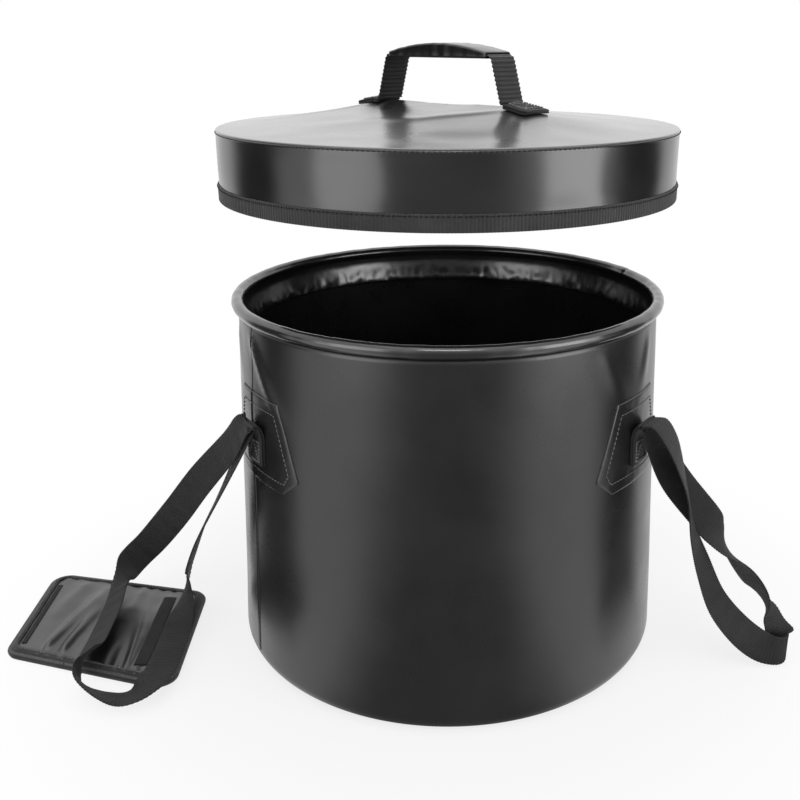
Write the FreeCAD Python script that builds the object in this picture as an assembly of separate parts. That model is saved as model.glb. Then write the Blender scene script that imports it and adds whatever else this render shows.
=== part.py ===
import FreeCAD, Part
import math
import os

# Collapsible bucket of coated fabric with a lift-off lid and two webbing carrying straps.
# Millimetres. The origin is the centre of the base on the floor, +Z is up, -Y is the front.

# Stock and clearances
SHEET = 0.9
LIGHT_SHEET = 0.6
WEBBING = 1.6
WEBBING_WIDTH = 25.0
BINDING = 0.7
SEW_GAP = 0.12
RUN_GAP = 0.4

# Bucket body
BODY_HEIGHT = 294.0
MOUTH_RADIUS = 164.0
FOOT_RADIUS = 175.0
FOOT_ROUND = 13.0
FOOT_FLANGE = 12.0
BASE_RING_WIDTH = 26.0
SEAM_WIDTH = 24.0
SEAM_THICKNESS = 0.5
SEAM_ANGLE = 64.0

# Rolled rim
BEAD_RADIUS = 4.6
BEAD_OUTSET = 0.6
HOOP_RADIUS = 3.6
HOOP_BORE = 2.0
PIN_RADIUS = 1.9
PIN_LENGTH = 50.0
HEM_DROP = 27.0
RIM_JOINT_ANGLE = 21.0

# Carrying strap anchors
HANDLE_ANGLE = 56.5
PATCH_TOP = 235.0
PATCH_BOTTOM = 167.0
PATCH_SHOULDER_RISE = 14.0
PATCH_TOP_WIDTH = 60.0
PATCH_SHOULDER_WIDTH = 104.0
PATCH_BOTTOM_WIDTH = 68.0
TAB_BOTTOM = 183.0
TAB_BEND = 209.0
HINGE_HEIGHT = 214.0
HINGE_OUTSET = 5.0

# Lid, shown lifted above its seat on the rim
LID_RAISED = 122.5
LID_DEPTH = 49.5
LID_RISE = 16.0
LID_CROWN_RADIUS = 65.0
HEM_TAPE_HEIGHT = 11.0
LID_HANDLE_TURN = -44.0
LID_FOOT_SPAN = 126.0
LID_TOP_SPAN = 106.0
LID_HANDLE_HEIGHT = 34.0
LID_TAB_LENGTH = 22.0
GRIP_LENGTH = 98.0
GRIP_WIDTH = 27.0
GRIP_WALL = 1.2
GRIP_CROWN = 6.0

# Grip pad, its corners as offsets from the left strap's hinge
PAD_CORNERS = [(-221, 146), (-71, 112), (-66, -31), (-217, 16)]
PAD_CORNER_ROUND = 16.0
PAD_FOAM = 5.6
PAD_FOAM_ROUND = 2.4
PAD_BINDING_WIDTH = 9.0
PAD_FOLD_START = (-172, 140)
PAD_FOLD_END = (-161, -10)
PAD_FOLD_GAP = 1.0
HOOK_WIDTH = 4.0
LOOP_WIDTH = 11.0
CLOSURE_THICKNESS = 0.6
HOOK_START = (-207.5, 120)
HOOK_END = (-204.5, 28)
LOOP_START = (-101, 97)
LOOP_END = (-98.5, -4)

# Routes of the straps: offset from the hinge, height as a share of the way from the pad top to the hinge,
# and width direction
LEFT_ROUTE = [
    (-6, 1, 0.9757, (0.45, -0.84, -0.30)),
    (-18, 12, 0.8832, (0.42, -0.66, -0.62)),
    (-48, 35, 0.6983, (0.60, -0.42, -0.68)),
    (-76, 59, 0.5086, (0.71, -0.24, -0.66)),
    (-106, 83, 0.3188, (0.78, 0.00, -0.62)),
    (-126, 98, 0.2069, (0.80, -0.10, -0.58)),
    (-138, 106, 0.1339, (0.85, -0.35, -0.40)),
    (-144, 104, 0.0804, (0.74, -0.60, 0.10)),
    (-145, 91, 0.0536, (0.78, -0.15, 0.58)),
    (-142, 60, 0.0439, (0.84, 0.00, 0.54)),
    (-140, 30, 0.0439, (0.85, 0.00, 0.53)),
    (-139, 4, 0.0463, (0.84, 0.00, 0.54)),
    (-139.5, -9, 0.0551, (0.60, 0.00, 0.80)),
    (-141, -19, 0.0405, (0.15, 0.00, 0.99)),
    (-139, -29, 0.0293, (-0.15, -0.20, 0.97)),
    (-131, -37, 0.0196, (-0.30, -0.55, 0.78)),
    (-118, -42, 0.0001, (-0.15, -0.85, 0.50)),
    (-104, -44, -0.0140, (0.05, -0.97, 0.24)),
    (-92, -42, -0.0023, (0.42, -0.88, 0.15)),
    (-84, -33, 0.0123, (0.75, -0.65, 0.05)),
    (-80, -14, 0.0103, (0.97, -0.22, 0.00)),
    (-80, 10, 0.0069, (1.00, -0.05, 0.00)),
    (-81, 40, 0.0113, (0.99, 0.00, 0.12)),
    (-82, 64, 0.0356, (0.90, 0.00, 0.44)),
    (-83, 82, 0.0619, (0.55, -0.10, 0.83)),
    (-83, 95, 0.1047, (0.20, -0.55, 0.80)),
    (-80, 98, 0.1728, (0.05, -0.93, 0.30)),
    (-65, 83, 0.3480, (-0.22, -0.88, -0.42)),
    (-44, 54, 0.5426, (-0.20, -0.86, -0.46)),
    (-21, 24, 0.7616, (0.00, -0.92, -0.38)),
    (-7, 6, 0.9173, (0.35, -0.92, -0.18)),
]
RIGHT_ROUTE = [
    (8, -4.6, 1.0049, (0.55, 0.83, 0.00)),
    (16, -7.5, 0.9513, (0.46, 0.88, 0.06)),
    (23, -7, 0.8735, (0.32, 0.93, 0.10)),
    (32, -4, 0.7373, (0.15, 0.98, 0.12)),
    (40, 0, 0.5670, (0.26, 0.92, 0.30)),
    (52, 3, 0.4064, (0.45, 0.78, 0.43)),
    (66, 6, 0.2507, (0.56, 0.68, 0.47)),
    (86, 8, 0.1242, (0.50, 0.50, 0.70)),
    (105, 6, 0.0512, (0.25, 0.25, 0.93)),
    (119, 5, 0.0317, (0.05, 0.05, 1.00)),
    (127.5, 11, 0.0293, (0.00, 0.00, 1.00)),
    (126, 20, 0.0415, (0.08, 0.15, 0.98)),
    (122, 26, 0.0852, (0.38, 0.70, 0.60)),
    (117.5, 30, 0.1339, (0.38, 0.81, 0.44)),
    (111.5, 31, 0.1874, (-0.14, 0.98, 0.12)),
    (102, 26, 0.2604, (-0.50, 0.85, -0.15)),
    (91, 22, 0.3383, (-0.53, 0.83, -0.18)),
    (81, 19, 0.4015, (-0.40, 0.90, -0.05)),
    (73, 17, 0.4502, (0.00, 0.98, 0.12)),
    (64, 14, 0.5183, (0.50, 0.75, 0.40)),
    (52, 11, 0.6010, (0.80, 0.20, 0.55)),
    (26, 6, 0.7616, (0.80, 0.30, 0.50)),
    (7, 2, 0.9173, (0.65, 0.74, 0.15)),
]

# Worked out from the sizes above
RIM_HEIGHT = BODY_HEIGHT - BEAD_RADIUS
RIM_RADIUS = MOUTH_RADIUS + BEAD_OUTSET
SLEEVE_BORE = HOOP_RADIUS + RUN_GAP / 2
WALL_TOP = RIM_HEIGHT - BEAD_RADIUS - RUN_GAP
FLOOR_RADIUS = FOOT_RADIUS - FOOT_ROUND
FLANGE_RADIUS = FLOOR_RADIUS - FOOT_FLANGE
BASE_RADIUS = FLANGE_RADIUS - RUN_GAP
PATCH_SHOULDER = PATCH_BOTTOM + PATCH_SHOULDER_RISE

LID_HEM_INNER = RIM_RADIUS + BEAD_RADIUS + RUN_GAP
SKIRT_INNER = LID_HEM_INNER + BINDING + SEW_GAP
SKIRT_OUTER = SKIRT_INNER + SHEET
LID_HEM_OUTER = SKIRT_OUTER + SEW_GAP + BINDING
LID_UNDERSIDE = BODY_HEIGHT + RUN_GAP + LID_RAISED
LID_EDGE = LID_UNDERSIDE + SHEET
LID_BOTTOM = LID_EDGE - LID_DEPTH
LID_CROWN = LID_EDGE + LID_RISE
LID_SLOPE = math.atan2(LID_RISE, SKIRT_OUTER - LID_CROWN_RADIUS)

TAB_BASE = SEW_GAP + SHEET + SEW_GAP
TAB_THICKNESS = 2 * WEBBING + SEW_GAP
ROOT_RADIUS = TAB_THICKNESS / 2

PAD_BACKING_BOTTOM = LIGHT_SHEET + SEW_GAP
PAD_FOAM_BOTTOM = PAD_BACKING_BOTTOM + LIGHT_SHEET + SEW_GAP
PAD_LINING_BOTTOM = PAD_FOAM_BOTTOM + PAD_FOAM + SEW_GAP
PAD_LINING_TOP = PAD_LINING_BOTTOM + LIGHT_SHEET
PAD_TOP = PAD_LINING_TOP + SEW_GAP + LIGHT_SHEET

UP = FreeCAD.Vector(0, 0, 1)
ORIGIN = FreeCAD.Vector(0, 0, 0)
FAR = 1000.0


def point(radius, height):
    return FreeCAD.Vector(radius, 0, height)


def revolved(corners, angle=360.0):
    """Turn a closed profile of (radius, height) corners about the vertical axis."""
    points = [point(*corner) for corner in corners]
    face = Part.Face(Part.makePolygon(points + points[:1]))
    return face.revolve(ORIGIN, UP, angle)


def ring(inner, outer, bottom, top):
    return revolved([(inner, bottom), (outer, bottom), (outer, top), (inner, top)])


def wall_radius(height):
    """Outer radius of the tapering wall at a height above the rounded foot."""
    share = (height - FOOT_ROUND) / (WALL_TOP - FOOT_ROUND)
    return FOOT_RADIUS + (MOUTH_RADIUS - FOOT_RADIUS) * share


def wall_layer(offset, thickness, bottom, top, angle=360.0):
    """A layer that follows the wall, its inner face the given offset outside it."""
    low = wall_radius(bottom) + offset
    high = wall_radius(top) + offset
    return revolved([(low, bottom), (low + thickness, bottom), (high + thickness, top), (high, top)], angle)


def side_wall():
    """Tapered tube, rounded at the foot, with its edge turned in flat under the floor."""
    slant = math.sqrt(0.5)
    outer_mid = point(FLOOR_RADIUS + FOOT_ROUND * slant, FOOT_ROUND - FOOT_ROUND * slant)
    inner_round = FOOT_ROUND - SHEET
    inner_mid = point(FLOOR_RADIUS + inner_round * slant, FOOT_ROUND - inner_round * slant)
    edges = [
        Part.LineSegment(point(FLANGE_RADIUS, 0), point(FLOOR_RADIUS, 0)).toShape(),
        Part.Arc(point(FLOOR_RADIUS, 0), outer_mid, point(FOOT_RADIUS, FOOT_ROUND)).toShape(),
        Part.LineSegment(point(FOOT_RADIUS, FOOT_ROUND), point(MOUTH_RADIUS, WALL_TOP)).toShape(),
        Part.LineSegment(point(MOUTH_RADIUS, WALL_TOP), point(MOUTH_RADIUS - SHEET, WALL_TOP)).toShape(),
        Part.LineSegment(
            point(MOUTH_RADIUS - SHEET, WALL_TOP), point(FOOT_RADIUS - SHEET, FOOT_ROUND)
        ).toShape(),
        Part.Arc(point(FOOT_RADIUS - SHEET, FOOT_ROUND), inner_mid, point(FLOOR_RADIUS, SHEET)).toShape(),
        Part.LineSegment(point(FLOOR_RADIUS, SHEET), point(FLANGE_RADIUS, SHEET)).toShape(),
        Part.LineSegment(point(FLANGE_RADIUS, SHEET), point(FLANGE_RADIUS, 0)).toShape(),
    ]
    return Part.Face(Part.Wire(edges)).revolve(ORIGIN, UP, 360.0)


def seam_tape(clearance=0.0):
    """Strip along the upright seam, which the left patch covers with a clearance."""
    bottom = FOOT_ROUND
    width = SEAM_WIDTH + 2 * clearance
    angle = math.degrees(width / MOUTH_RADIUS)
    strip = wall_layer(SEW_GAP - clearance, SEAM_THICKNESS + 2 * clearance, bottom, WALL_TOP, angle)
    strip.rotate(ORIGIN, UP, 270.0 - SEAM_ANGLE - angle / 2)
    return strip


def outward(side):
    """Unit vector from the axis to a strap's anchor: side is -1 at the left, 1 at the right."""
    turn = math.radians(HANDLE_ANGLE)
    return FreeCAD.Vector(side * math.sin(turn), -math.cos(turn), 0)


def across(side):
    """Unit vector along the wall at a strap's anchor, square to outward."""
    return UP.cross(outward(side))


def anchor_prism(side, outline):
    """Prism through the wall at an anchor, from an outline of (across, height) points."""
    points = [across(side) * width + UP * height for width, height in outline]
    face = Part.Face(Part.makePolygon(points + points[:1]))
    return face.extrude(outward(side) * (2 * FOOT_RADIUS))


def patch(side):
    """House-shaped reinforcing patch that follows the wall."""
    top = PATCH_TOP_WIDTH / 2
    shoulder = PATCH_SHOULDER_WIDTH / 2
    bottom = PATCH_BOTTOM_WIDTH / 2
    outline = [
        (-top, PATCH_TOP), (top, PATCH_TOP), (shoulder, PATCH_SHOULDER),
        (bottom, PATCH_BOTTOM), (-bottom, PATCH_BOTTOM), (-shoulder, PATCH_SHOULDER),
    ]
    layer = wall_layer(SEW_GAP, SHEET, PATCH_BOTTOM, PATCH_TOP)
    return layer.common(anchor_prism(side, outline))


def hinge(side):
    """Centre of the fold about which a strap swings."""
    radius = wall_radius(HINGE_HEIGHT) + TAB_BASE + TAB_THICKNESS + HINGE_OUTSET
    return outward(side) * radius + UP * HINGE_HEIGHT


def strap_tab(side):
    """Sewn ends of a strap: a double layer on the patch that bends out at the top."""
    half = WEBBING_WIDTH / 2
    start = wall_radius(TAB_BEND) + TAB_BASE
    lip = hinge(side).dot(outward(side)) - ROOT_RADIUS - RUN_GAP
    low = HINGE_HEIGHT - ROOT_RADIUS
    high = HINGE_HEIGHT + ROOT_RADIUS
    foot = wall_radius(TAB_BOTTOM) + TAB_BASE
    section = [
        (foot, TAB_BOTTOM), (foot + TAB_THICKNESS, TAB_BOTTOM), (start + TAB_THICKNESS, TAB_BEND),
        (lip, low), (lip, high), (start, high),
    ]
    corners = [outward(side) * radius - across(side) * half + UP * height for radius, height in section]
    bent = Part.Face(Part.makePolygon(corners + corners[:1])).extrude(across(side) * WEBBING_WIDTH)
    return bent.cut(wall_layer(-SHEET, SHEET + TAB_BASE, TAB_BOTTOM - half, HINGE_HEIGHT + half))


def strap_stations(side, route):
    """Places along a strap from its hinge and back, each with its width direction."""
    root = hinge(side)
    lift = UP * ((WEBBING + SEW_GAP) / 2)
    stations = [(root + lift, across(side))]
    for along_x, along_y, share, width in route:
        height = PAD_TOP + share * (HINGE_HEIGHT - PAD_TOP)
        place = FreeCAD.Vector(root.x + along_x, root.y + along_y, height)
        stations.append((place, FreeCAD.Vector(*width)))
    stations.append((root - lift, across(side)))
    return stations


def midway(before, first, second, after):
    """Place halfway from first to second on a smooth curve through all four."""
    return (first + second) * 0.5625 - (before + after) * 0.0625


def smoothed(stations):
    """The stations with one more on a smooth curve between each two, except next to the root."""
    finer = stations[:1]
    for before, first, second, after in zip(stations, stations[1:], stations[2:], stations[3:]):
        place = midway(before[0], first[0], second[0], after[0])
        width = midway(before[1], first[1], second[1], after[1])
        finer += [first, (place, width)]
    return finer + stations[-2:]


def strap_section(place, heading, width):
    """Corners of the webbing's section square to its heading."""
    heading.normalize()
    spread = width - heading * width.dot(heading)
    spread.normalize()
    face = heading.cross(spread) * (WEBBING / 2)
    spread = spread * (WEBBING_WIDTH / 2)
    return [place - spread - face, place + spread - face, place + spread + face, place - spread + face]


def strap(side, route):
    """Webbing loop from the fold, along its route and back, as one closed band."""
    stations = smoothed(strap_stations(side, route))
    places = [place for place, width in stations]
    headings = [outward(side)]
    headings += [after - before for before, after in zip(places, places[2:])]
    headings.append(outward(side) * -1)
    sections = []
    for (place, width), heading in zip(stations, headings):
        sections.append(strap_section(place, heading, width))
    facets = [sections[0], sections[-1]]
    for last, now in zip(sections, sections[1:]):
        for corner in range(4):
            end = (corner + 1) % 4
            if corner < 2:
                facets.append([last[corner], last[end], now[end]])
                facets.append([last[corner], now[end], now[corner]])
            else:
                facets.append([last[corner], last[end], now[corner]])
                facets.append([last[end], now[end], now[corner]])
    faces = [Part.Face(Part.makePolygon(facet + facet[:1])) for facet in facets]
    band = Part.makeSolid(Part.makeShell(faces))
    if band.Volume < 0:
        band.reverse()
    start = hinge(side) - across(side) * (WEBBING_WIDTH / 2)
    root_roll = Part.makeCylinder(ROOT_RADIUS, WEBBING_WIDTH, start, across(side))
    return band.fuse(root_roll)


def bead(radius, angle=360.0):
    """Ring of round section round the mouth."""
    circle = Part.makeCircle(radius, point(RIM_RADIUS, RIM_HEIGHT), FreeCAD.Vector(0, 1, 0))
    return Part.Face(Part.Wire(circle)).revolve(ORIGIN, UP, angle)


def rim_hoop():
    return bead(HOOP_RADIUS).cut(bead(HOOP_BORE))


def hoop_joint_pin():
    angle = math.degrees(PIN_LENGTH / RIM_RADIUS)
    pin = bead(PIN_RADIUS, angle)
    pin.rotate(ORIGIN, UP, RIM_JOINT_ANGLE - angle / 2)
    return pin


def rim_sleeve():
    """Rolled rim round the hoop, with its hem band hanging inside the wall."""
    band = wall_layer(-2 * SHEET - RUN_GAP, SHEET, RIM_HEIGHT - HEM_DROP, RIM_HEIGHT)
    return bead(BEAD_RADIUS).fuse(band).cut(bead(SLEEVE_BORE)).removeSplitter()


def base_panel():
    return Part.makeCylinder(BASE_RADIUS, SHEET)


def base_seam_ring():
    outer = FLOOR_RADIUS - RUN_GAP
    bottom = SHEET + SEW_GAP
    return ring(outer - BASE_RING_WIDTH, outer, bottom, bottom + SHEET)


def lid_top():
    """Shallow tent: flat in the middle and sloping to the edge."""
    return revolved([
        (0, LID_CROWN - SHEET), (LID_CROWN_RADIUS, LID_CROWN - SHEET), (SKIRT_OUTER, LID_UNDERSIDE),
        (SKIRT_OUTER, LID_EDGE), (LID_CROWN_RADIUS, LID_CROWN), (0, LID_CROWN),
    ])


def lid_skirt():
    return ring(SKIRT_INNER, SKIRT_OUTER, LID_BOTTOM, LID_UNDERSIDE - SEW_GAP)


def lid_hem_tape():
    """Woven tape folded round the lower edge of the skirt."""
    fold = ring(LID_HEM_INNER, LID_HEM_OUTER, LID_BOTTOM - SEW_GAP - BINDING, LID_BOTTOM + HEM_TAPE_HEIGHT)
    room = ring(SKIRT_INNER - SEW_GAP, SKIRT_OUTER + SEW_GAP, LID_BOTTOM - SEW_GAP, LID_EDGE)
    return fold.cut(room)


def turned_with_handle(shape):
    """Turn a shape made along X to the direction of the lid handle."""
    shape.rotate(ORIGIN, UP, LID_HANDLE_TURN)
    return shape


def lid_handle_tab(side):
    """Sewn end of the lid handle: a folded length of webbing on the slope of the lid."""
    start = LID_FOOT_SPAN / 2 + WEBBING / 2 + RUN_GAP
    corner = FreeCAD.Vector(0, -WEBBING_WIDTH / 2, SEW_GAP)
    tab = Part.makeBox(LID_TAB_LENGTH, WEBBING_WIDTH, TAB_THICKNESS, corner)
    tab.rotate(ORIGIN, FreeCAD.Vector(0, 1, 0), math.degrees(LID_SLOPE))
    drop = max(0.0, start - LID_CROWN_RADIUS) * math.tan(LID_SLOPE)
    tab.translate(FreeCAD.Vector(max(start, LID_CROWN_RADIUS), 0, LID_CROWN - drop))
    if side < 0:
        tab.rotate(ORIGIN, UP, 180.0)
    return turned_with_handle(tab)


def lid_handle_strap():
    """Webbing that rises from both tabs and runs through the grip."""
    foot = LID_FOOT_SPAN / 2
    shoulder = LID_TOP_SPAN / 2
    low = LID_CROWN + SEW_GAP
    high = LID_CROWN + LID_HANDLE_HEIGHT
    half = WEBBING / 2
    outline = [
        (-foot - half, low), (-shoulder - half, high + half), (shoulder + half, high + half),
        (foot + half, low), (foot - half, low), (shoulder - half, high - half),
        (half - shoulder, high - half), (half - foot, low),
    ]
    corners = [FreeCAD.Vector(along, -WEBBING_WIDTH / 2, height) for along, height in outline]
    face = Part.Face(Part.makePolygon(corners + corners[:1]))
    return turned_with_handle(face.extrude(FreeCAD.Vector(0, WEBBING_WIDTH, 0)))


def lid_handle_grip():
    """Crescent sleeve round the middle of the handle, flat underneath."""
    half = GRIP_LENGTH / 2
    middle = LID_CROWN + LID_HANDLE_HEIGHT
    low = middle - WEBBING / 2 - SEW_GAP - GRIP_WALL
    high = middle + WEBBING / 2 + SEW_GAP + GRIP_WALL
    side = -GRIP_WIDTH / 2
    ends = [FreeCAD.Vector(along, side, height) for along, height in
            ((-half, high), (-half, low), (half, low), (half, high))]
    crown = FreeCAD.Vector(0, side, high + GRIP_CROWN)
    edges = [Part.LineSegment(a, b).toShape() for a, b in zip(ends, ends[1:])]
    edges.append(Part.Arc(ends[3], crown, ends[0]).toShape())
    body = Part.Face(Part.Wire(edges)).extrude(FreeCAD.Vector(0, GRIP_WIDTH, 0))
    slot_height = WEBBING + 2 * SEW_GAP
    slot_width = WEBBING_WIDTH + 2 * SEW_GAP
    corner = FreeCAD.Vector(-half, -slot_width / 2, middle - slot_height / 2)
    slot = Part.makeBox(GRIP_LENGTH, slot_width, slot_height, corner)
    return turned_with_handle(body.cut(slot))


def from_left_hinge(offset, height=0.0):
    root = hinge(-1)
    return FreeCAD.Vector(root.x + offset[0], root.y + offset[1], height)


def pad_outline():
    """Outline of the opened pad on the floor, with rounded corners."""
    corners = [from_left_hinge(corner) for corner in PAD_CORNERS]
    edges = []
    arcs = []
    for index, corner in enumerate(corners):
        to_last = corners[index - 1] - corner
        to_next = corners[(index + 1) % len(corners)] - corner
        to_last.normalize()
        to_next.normalize()
        half_angle = to_last.getAngle(to_next) / 2
        reach = PAD_CORNER_ROUND / math.tan(half_angle)
        bisector = to_last + to_next
        bisector.normalize()
        middle = corner + bisector * (PAD_CORNER_ROUND / math.sin(half_angle) - PAD_CORNER_ROUND)
        arcs.append((corner + to_last * reach, middle, corner + to_next * reach))
    for index, (start, middle, end) in enumerate(arcs):
        edges.append(Part.Arc(start, middle, end).toShape())
        edges.append(Part.LineSegment(end, arcs[(index + 1) % len(arcs)][0]).toShape())
    return Part.Face(Part.Wire(edges))


def raised(face, bottom, thickness):
    solid = face.extrude(UP * thickness)
    solid.translate(UP * bottom)
    return solid


def pad_layers():
    """Backing, foam, lining and edge binding of the whole pad."""
    outline = pad_outline()
    inside = outline.makeOffset2D(-BINDING - SEW_GAP)
    foam = raised(inside, PAD_FOAM_BOTTOM, PAD_FOAM)
    upper = [edge for edge in foam.Edges if edge.BoundBox.ZMin > PAD_FOAM_BOTTOM + PAD_FOAM / 2]
    foam = foam.makeFillet(PAD_FOAM_ROUND, upper)
    open_middle = raised(outline.makeOffset2D(-PAD_BINDING_WIDTH), -PAD_TOP, 3 * PAD_TOP)
    room = raised(outline.makeOffset2D(-BINDING), LIGHT_SHEET, PAD_LINING_TOP + SEW_GAP - LIGHT_SHEET)
    return {
        "backing": raised(inside, PAD_BACKING_BOTTOM, LIGHT_SHEET),
        "foam": foam,
        "lining": raised(inside, PAD_LINING_BOTTOM, LIGHT_SHEET),
        "binding": raised(outline, 0.0, PAD_TOP).cut(open_middle).cut(room),
    }


def fold_side(side):
    """Half-space on one side of the pad's fold: -1 for the flap, 1 for the base."""
    start = from_left_hinge(PAD_FOLD_START)
    run = from_left_hinge(PAD_FOLD_END) - start
    run.normalize()
    square = UP.cross(run) * side
    near = start + square * (PAD_FOLD_GAP / 2)
    corners = [near - run * FAR, near + run * FAR, near + run * FAR + square * FAR, near - run * FAR + square * FAR]
    return Part.Face(Part.makePolygon(corners + corners[:1])).extrude(UP * FAR)


def closure_tape(start, end, width):
    """Strip of closure tape on the lining."""
    first = from_left_hinge(start, PAD_LINING_TOP + SEW_GAP)
    last = from_left_hinge(end, PAD_LINING_TOP + SEW_GAP)
    run = last - first
    run.normalize()
    square = UP.cross(run) * (width / 2)
    corners = [first - square, last - square, last + square, first + square]
    return Part.Face(Part.makePolygon(corners + corners[:1])).extrude(UP * CLOSURE_THICKNESS)


def pieces():
    """Every piece of the bucket by its name."""
    made = {
        "side_wall": side_wall(),
        "side_seam_tape": seam_tape(),
        "left_patch": patch(-1).cut(seam_tape(SEW_GAP)),
        "right_patch": patch(1),
        "left_strap_tab": strap_tab(-1),
        "right_strap_tab": strap_tab(1),
        "base_panel": base_panel(),
        "base_seam_ring": base_seam_ring(),
        "rim_hoop": rim_hoop(),
        "hoop_joint_pin": hoop_joint_pin(),
        "rim_sleeve": rim_sleeve(),
        "lid_top": lid_top(),
        "lid_skirt": lid_skirt(),
        "lid_hem_tape": lid_hem_tape(),
        "lid_handle_front_tab": lid_handle_tab(1),
        "lid_handle_rear_tab": lid_handle_tab(-1),
        "lid_handle_strap": lid_handle_strap(),
        "lid_handle_grip": lid_handle_grip(),
        "left_strap": strap(-1, LEFT_ROUTE),
        "right_strap": strap(1, RIGHT_ROUTE),
        "pad_hook_tape": closure_tape(HOOK_START, HOOK_END, HOOK_WIDTH),
        "pad_loop_tape": closure_tape(LOOP_START, LOOP_END, LOOP_WIDTH),
    }
    for name, layer in pad_layers().items():
        made["pad_flap_" + name] = layer.common(fold_side(-1))
        made["pad_base_" + name] = layer.common(fold_side(1))
    return made


os.makedirs("parts", exist_ok=True)
for node, shape in pieces().items():
    solids = shape.Solids
    whole = solids[0] if len(solids) == 1 else Part.makeCompound(solids)
    print(node, len(solids), whole.isValid(), round(whole.Volume, 1))
    whole.exportStep("parts/" + node + ".step")
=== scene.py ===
import math

import bmesh
import bpy
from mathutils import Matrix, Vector, noise


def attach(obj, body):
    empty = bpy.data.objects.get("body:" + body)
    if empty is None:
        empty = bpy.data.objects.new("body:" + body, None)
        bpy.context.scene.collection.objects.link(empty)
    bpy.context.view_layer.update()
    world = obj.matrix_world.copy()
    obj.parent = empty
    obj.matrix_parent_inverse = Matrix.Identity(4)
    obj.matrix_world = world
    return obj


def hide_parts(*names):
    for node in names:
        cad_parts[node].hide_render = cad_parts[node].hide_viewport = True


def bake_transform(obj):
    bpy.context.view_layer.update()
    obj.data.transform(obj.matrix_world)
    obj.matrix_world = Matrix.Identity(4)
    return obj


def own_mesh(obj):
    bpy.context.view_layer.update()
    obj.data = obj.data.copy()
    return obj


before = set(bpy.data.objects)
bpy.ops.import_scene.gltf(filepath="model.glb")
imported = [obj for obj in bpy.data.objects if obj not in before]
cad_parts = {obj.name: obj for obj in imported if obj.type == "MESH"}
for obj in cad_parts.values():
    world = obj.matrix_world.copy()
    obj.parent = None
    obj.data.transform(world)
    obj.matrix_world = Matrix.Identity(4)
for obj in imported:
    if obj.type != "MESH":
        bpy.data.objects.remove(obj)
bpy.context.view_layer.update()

# Collapsible bucket of coated fabric with a lift-off lid and two carrying straps.
# Sizes are the part's own, in millimetres, and become metres where a mesh is made.
MM = 0.001

# Stock
SHEET = 0.9
WEBBING = 1.6
WEBBING_WIDTH = 25.0
SEW_GAP = 0.12
RUN_GAP = 0.4

# Fineness of the turned pieces
WALL_COLUMNS = 288
LID_COLUMNS = 288
RIM_COLUMNS = 480
FLOOR_COLUMNS = 160
RING_COLUMNS = 240

# Stitches: pitch and radius of the thread
PATCH_STITCH = (3.6, 0.34)
TAB_STITCH = (2.6, 0.5)
LID_TAB_STITCH = (2.7, 0.5)
HEM_STITCH = (3.4, 0.36)
BINDING_STITCH = (3.2, 0.3)

# Bucket
FOOT_RADIUS = 175.0
FOOT_ROUND = 13.0
FLANGE_RADIUS = 150.0
MOUTH_RADIUS = 164.0
WALL_TOP = 284.4
BASE_RADIUS = 149.6
RING_INNER = 135.6
RING_OUTER = 161.6
SEAM_ANGLE = 64.0
SEAM_WIDTH = 24.0
SEAM_THICKNESS = 0.5
RIM_HEIGHT = 289.4
RIM_RADIUS = 164.6
BEAD_RADIUS = 4.6
SLEEVE_BORE = 3.8
BEAD_BOTTOM = 284.5
HEM_TOP = 284.0
HEM_HANG = 283.0
HEM_BOTTOM = 262.4
RIM_JOINT_ANGLE = 21.0

# Strap anchors
HANDLE_ANGLE = 56.5
PATCH_BOTTOM = 167.0
PATCH_SHOULDER = 181.0
PATCH_TOP = 235.0
PATCH_WIDTH = 104.0
PATCH_WIDTHS = ((PATCH_BOTTOM, 68.0), (PATCH_SHOULDER, PATCH_WIDTH), (PATCH_TOP, 60.0))
PATCH_STITCH_INSET = 9.0
TAB_BOTTOM = 183.0
TAB_BEND = 207.0
HINGE_HEIGHT = 214.0
HINGE_RADIUS = 176.3134
TAB_BASE = 2 * SEW_GAP + SHEET
TAB_THICKNESS = 2 * WEBBING + SEW_GAP
ROOT_RADIUS = TAB_THICKNESS / 2
BOX_STITCH_HALF = 9.5

# Lid
SKIRT_INNER = 170.42
SKIRT_OUTER = 171.32
LID_HEM_INNER = 169.6
LID_HEM_OUTER = 172.14
LID_BOTTOM = 368.3
LID_UNDERSIDE = 416.9
LID_EDGE = 417.8
LID_CROWN = 433.8
HEM_TAPE_TOP = 379.3
LID_HANDLE_TURN = math.radians(-44.0)
LID_RIDGE_HALF = 65.0
LID_FOOT_HALF = 63.0
LID_TOP_HALF = 53.0
LID_BRIDGE = 467.8
LID_TAB_LENGTH = 22.0
LID_TAB_LIFT = 0.35
LID_STRAP_LIFT = 0.3
GRIP_HALF = 49.0
GRIP_HALF_WIDTH = 13.5
GRIP_WALL = 1.2
GRIP_CROWN = 6.0

# Grip pad: corners as offsets from the left hinge, and heights of its layers
PAD_CORNERS = [(-221, 146), (-71, 112), (-66, -31), (-217, 16)]
PAD_CORNER_ROUND = 16.0
PAD_LINING_LOW = 7.2
PAD_BACKING_TOP = 1.3
PAD_LINING_THICKNESS = 0.6
PAD_BACKING_THICKNESS = 0.5
PAD_SHEET_INSET = 5.0
PAD_SHEET_RINGS = 52
PAD_HALF_REACH = 70.0
BINDING_SEAM_INSET = 6.8
BINDING_SEAM_HEIGHT = 8.85
HOOK_TAPE = ((-207.5, 120), (-204.5, 28))
HOOK_WIDTH = 4.0
LOOP_TAPE = ((-101, 97), (-98.5, -4))
LOOP_WIDTH = 11.0

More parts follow.
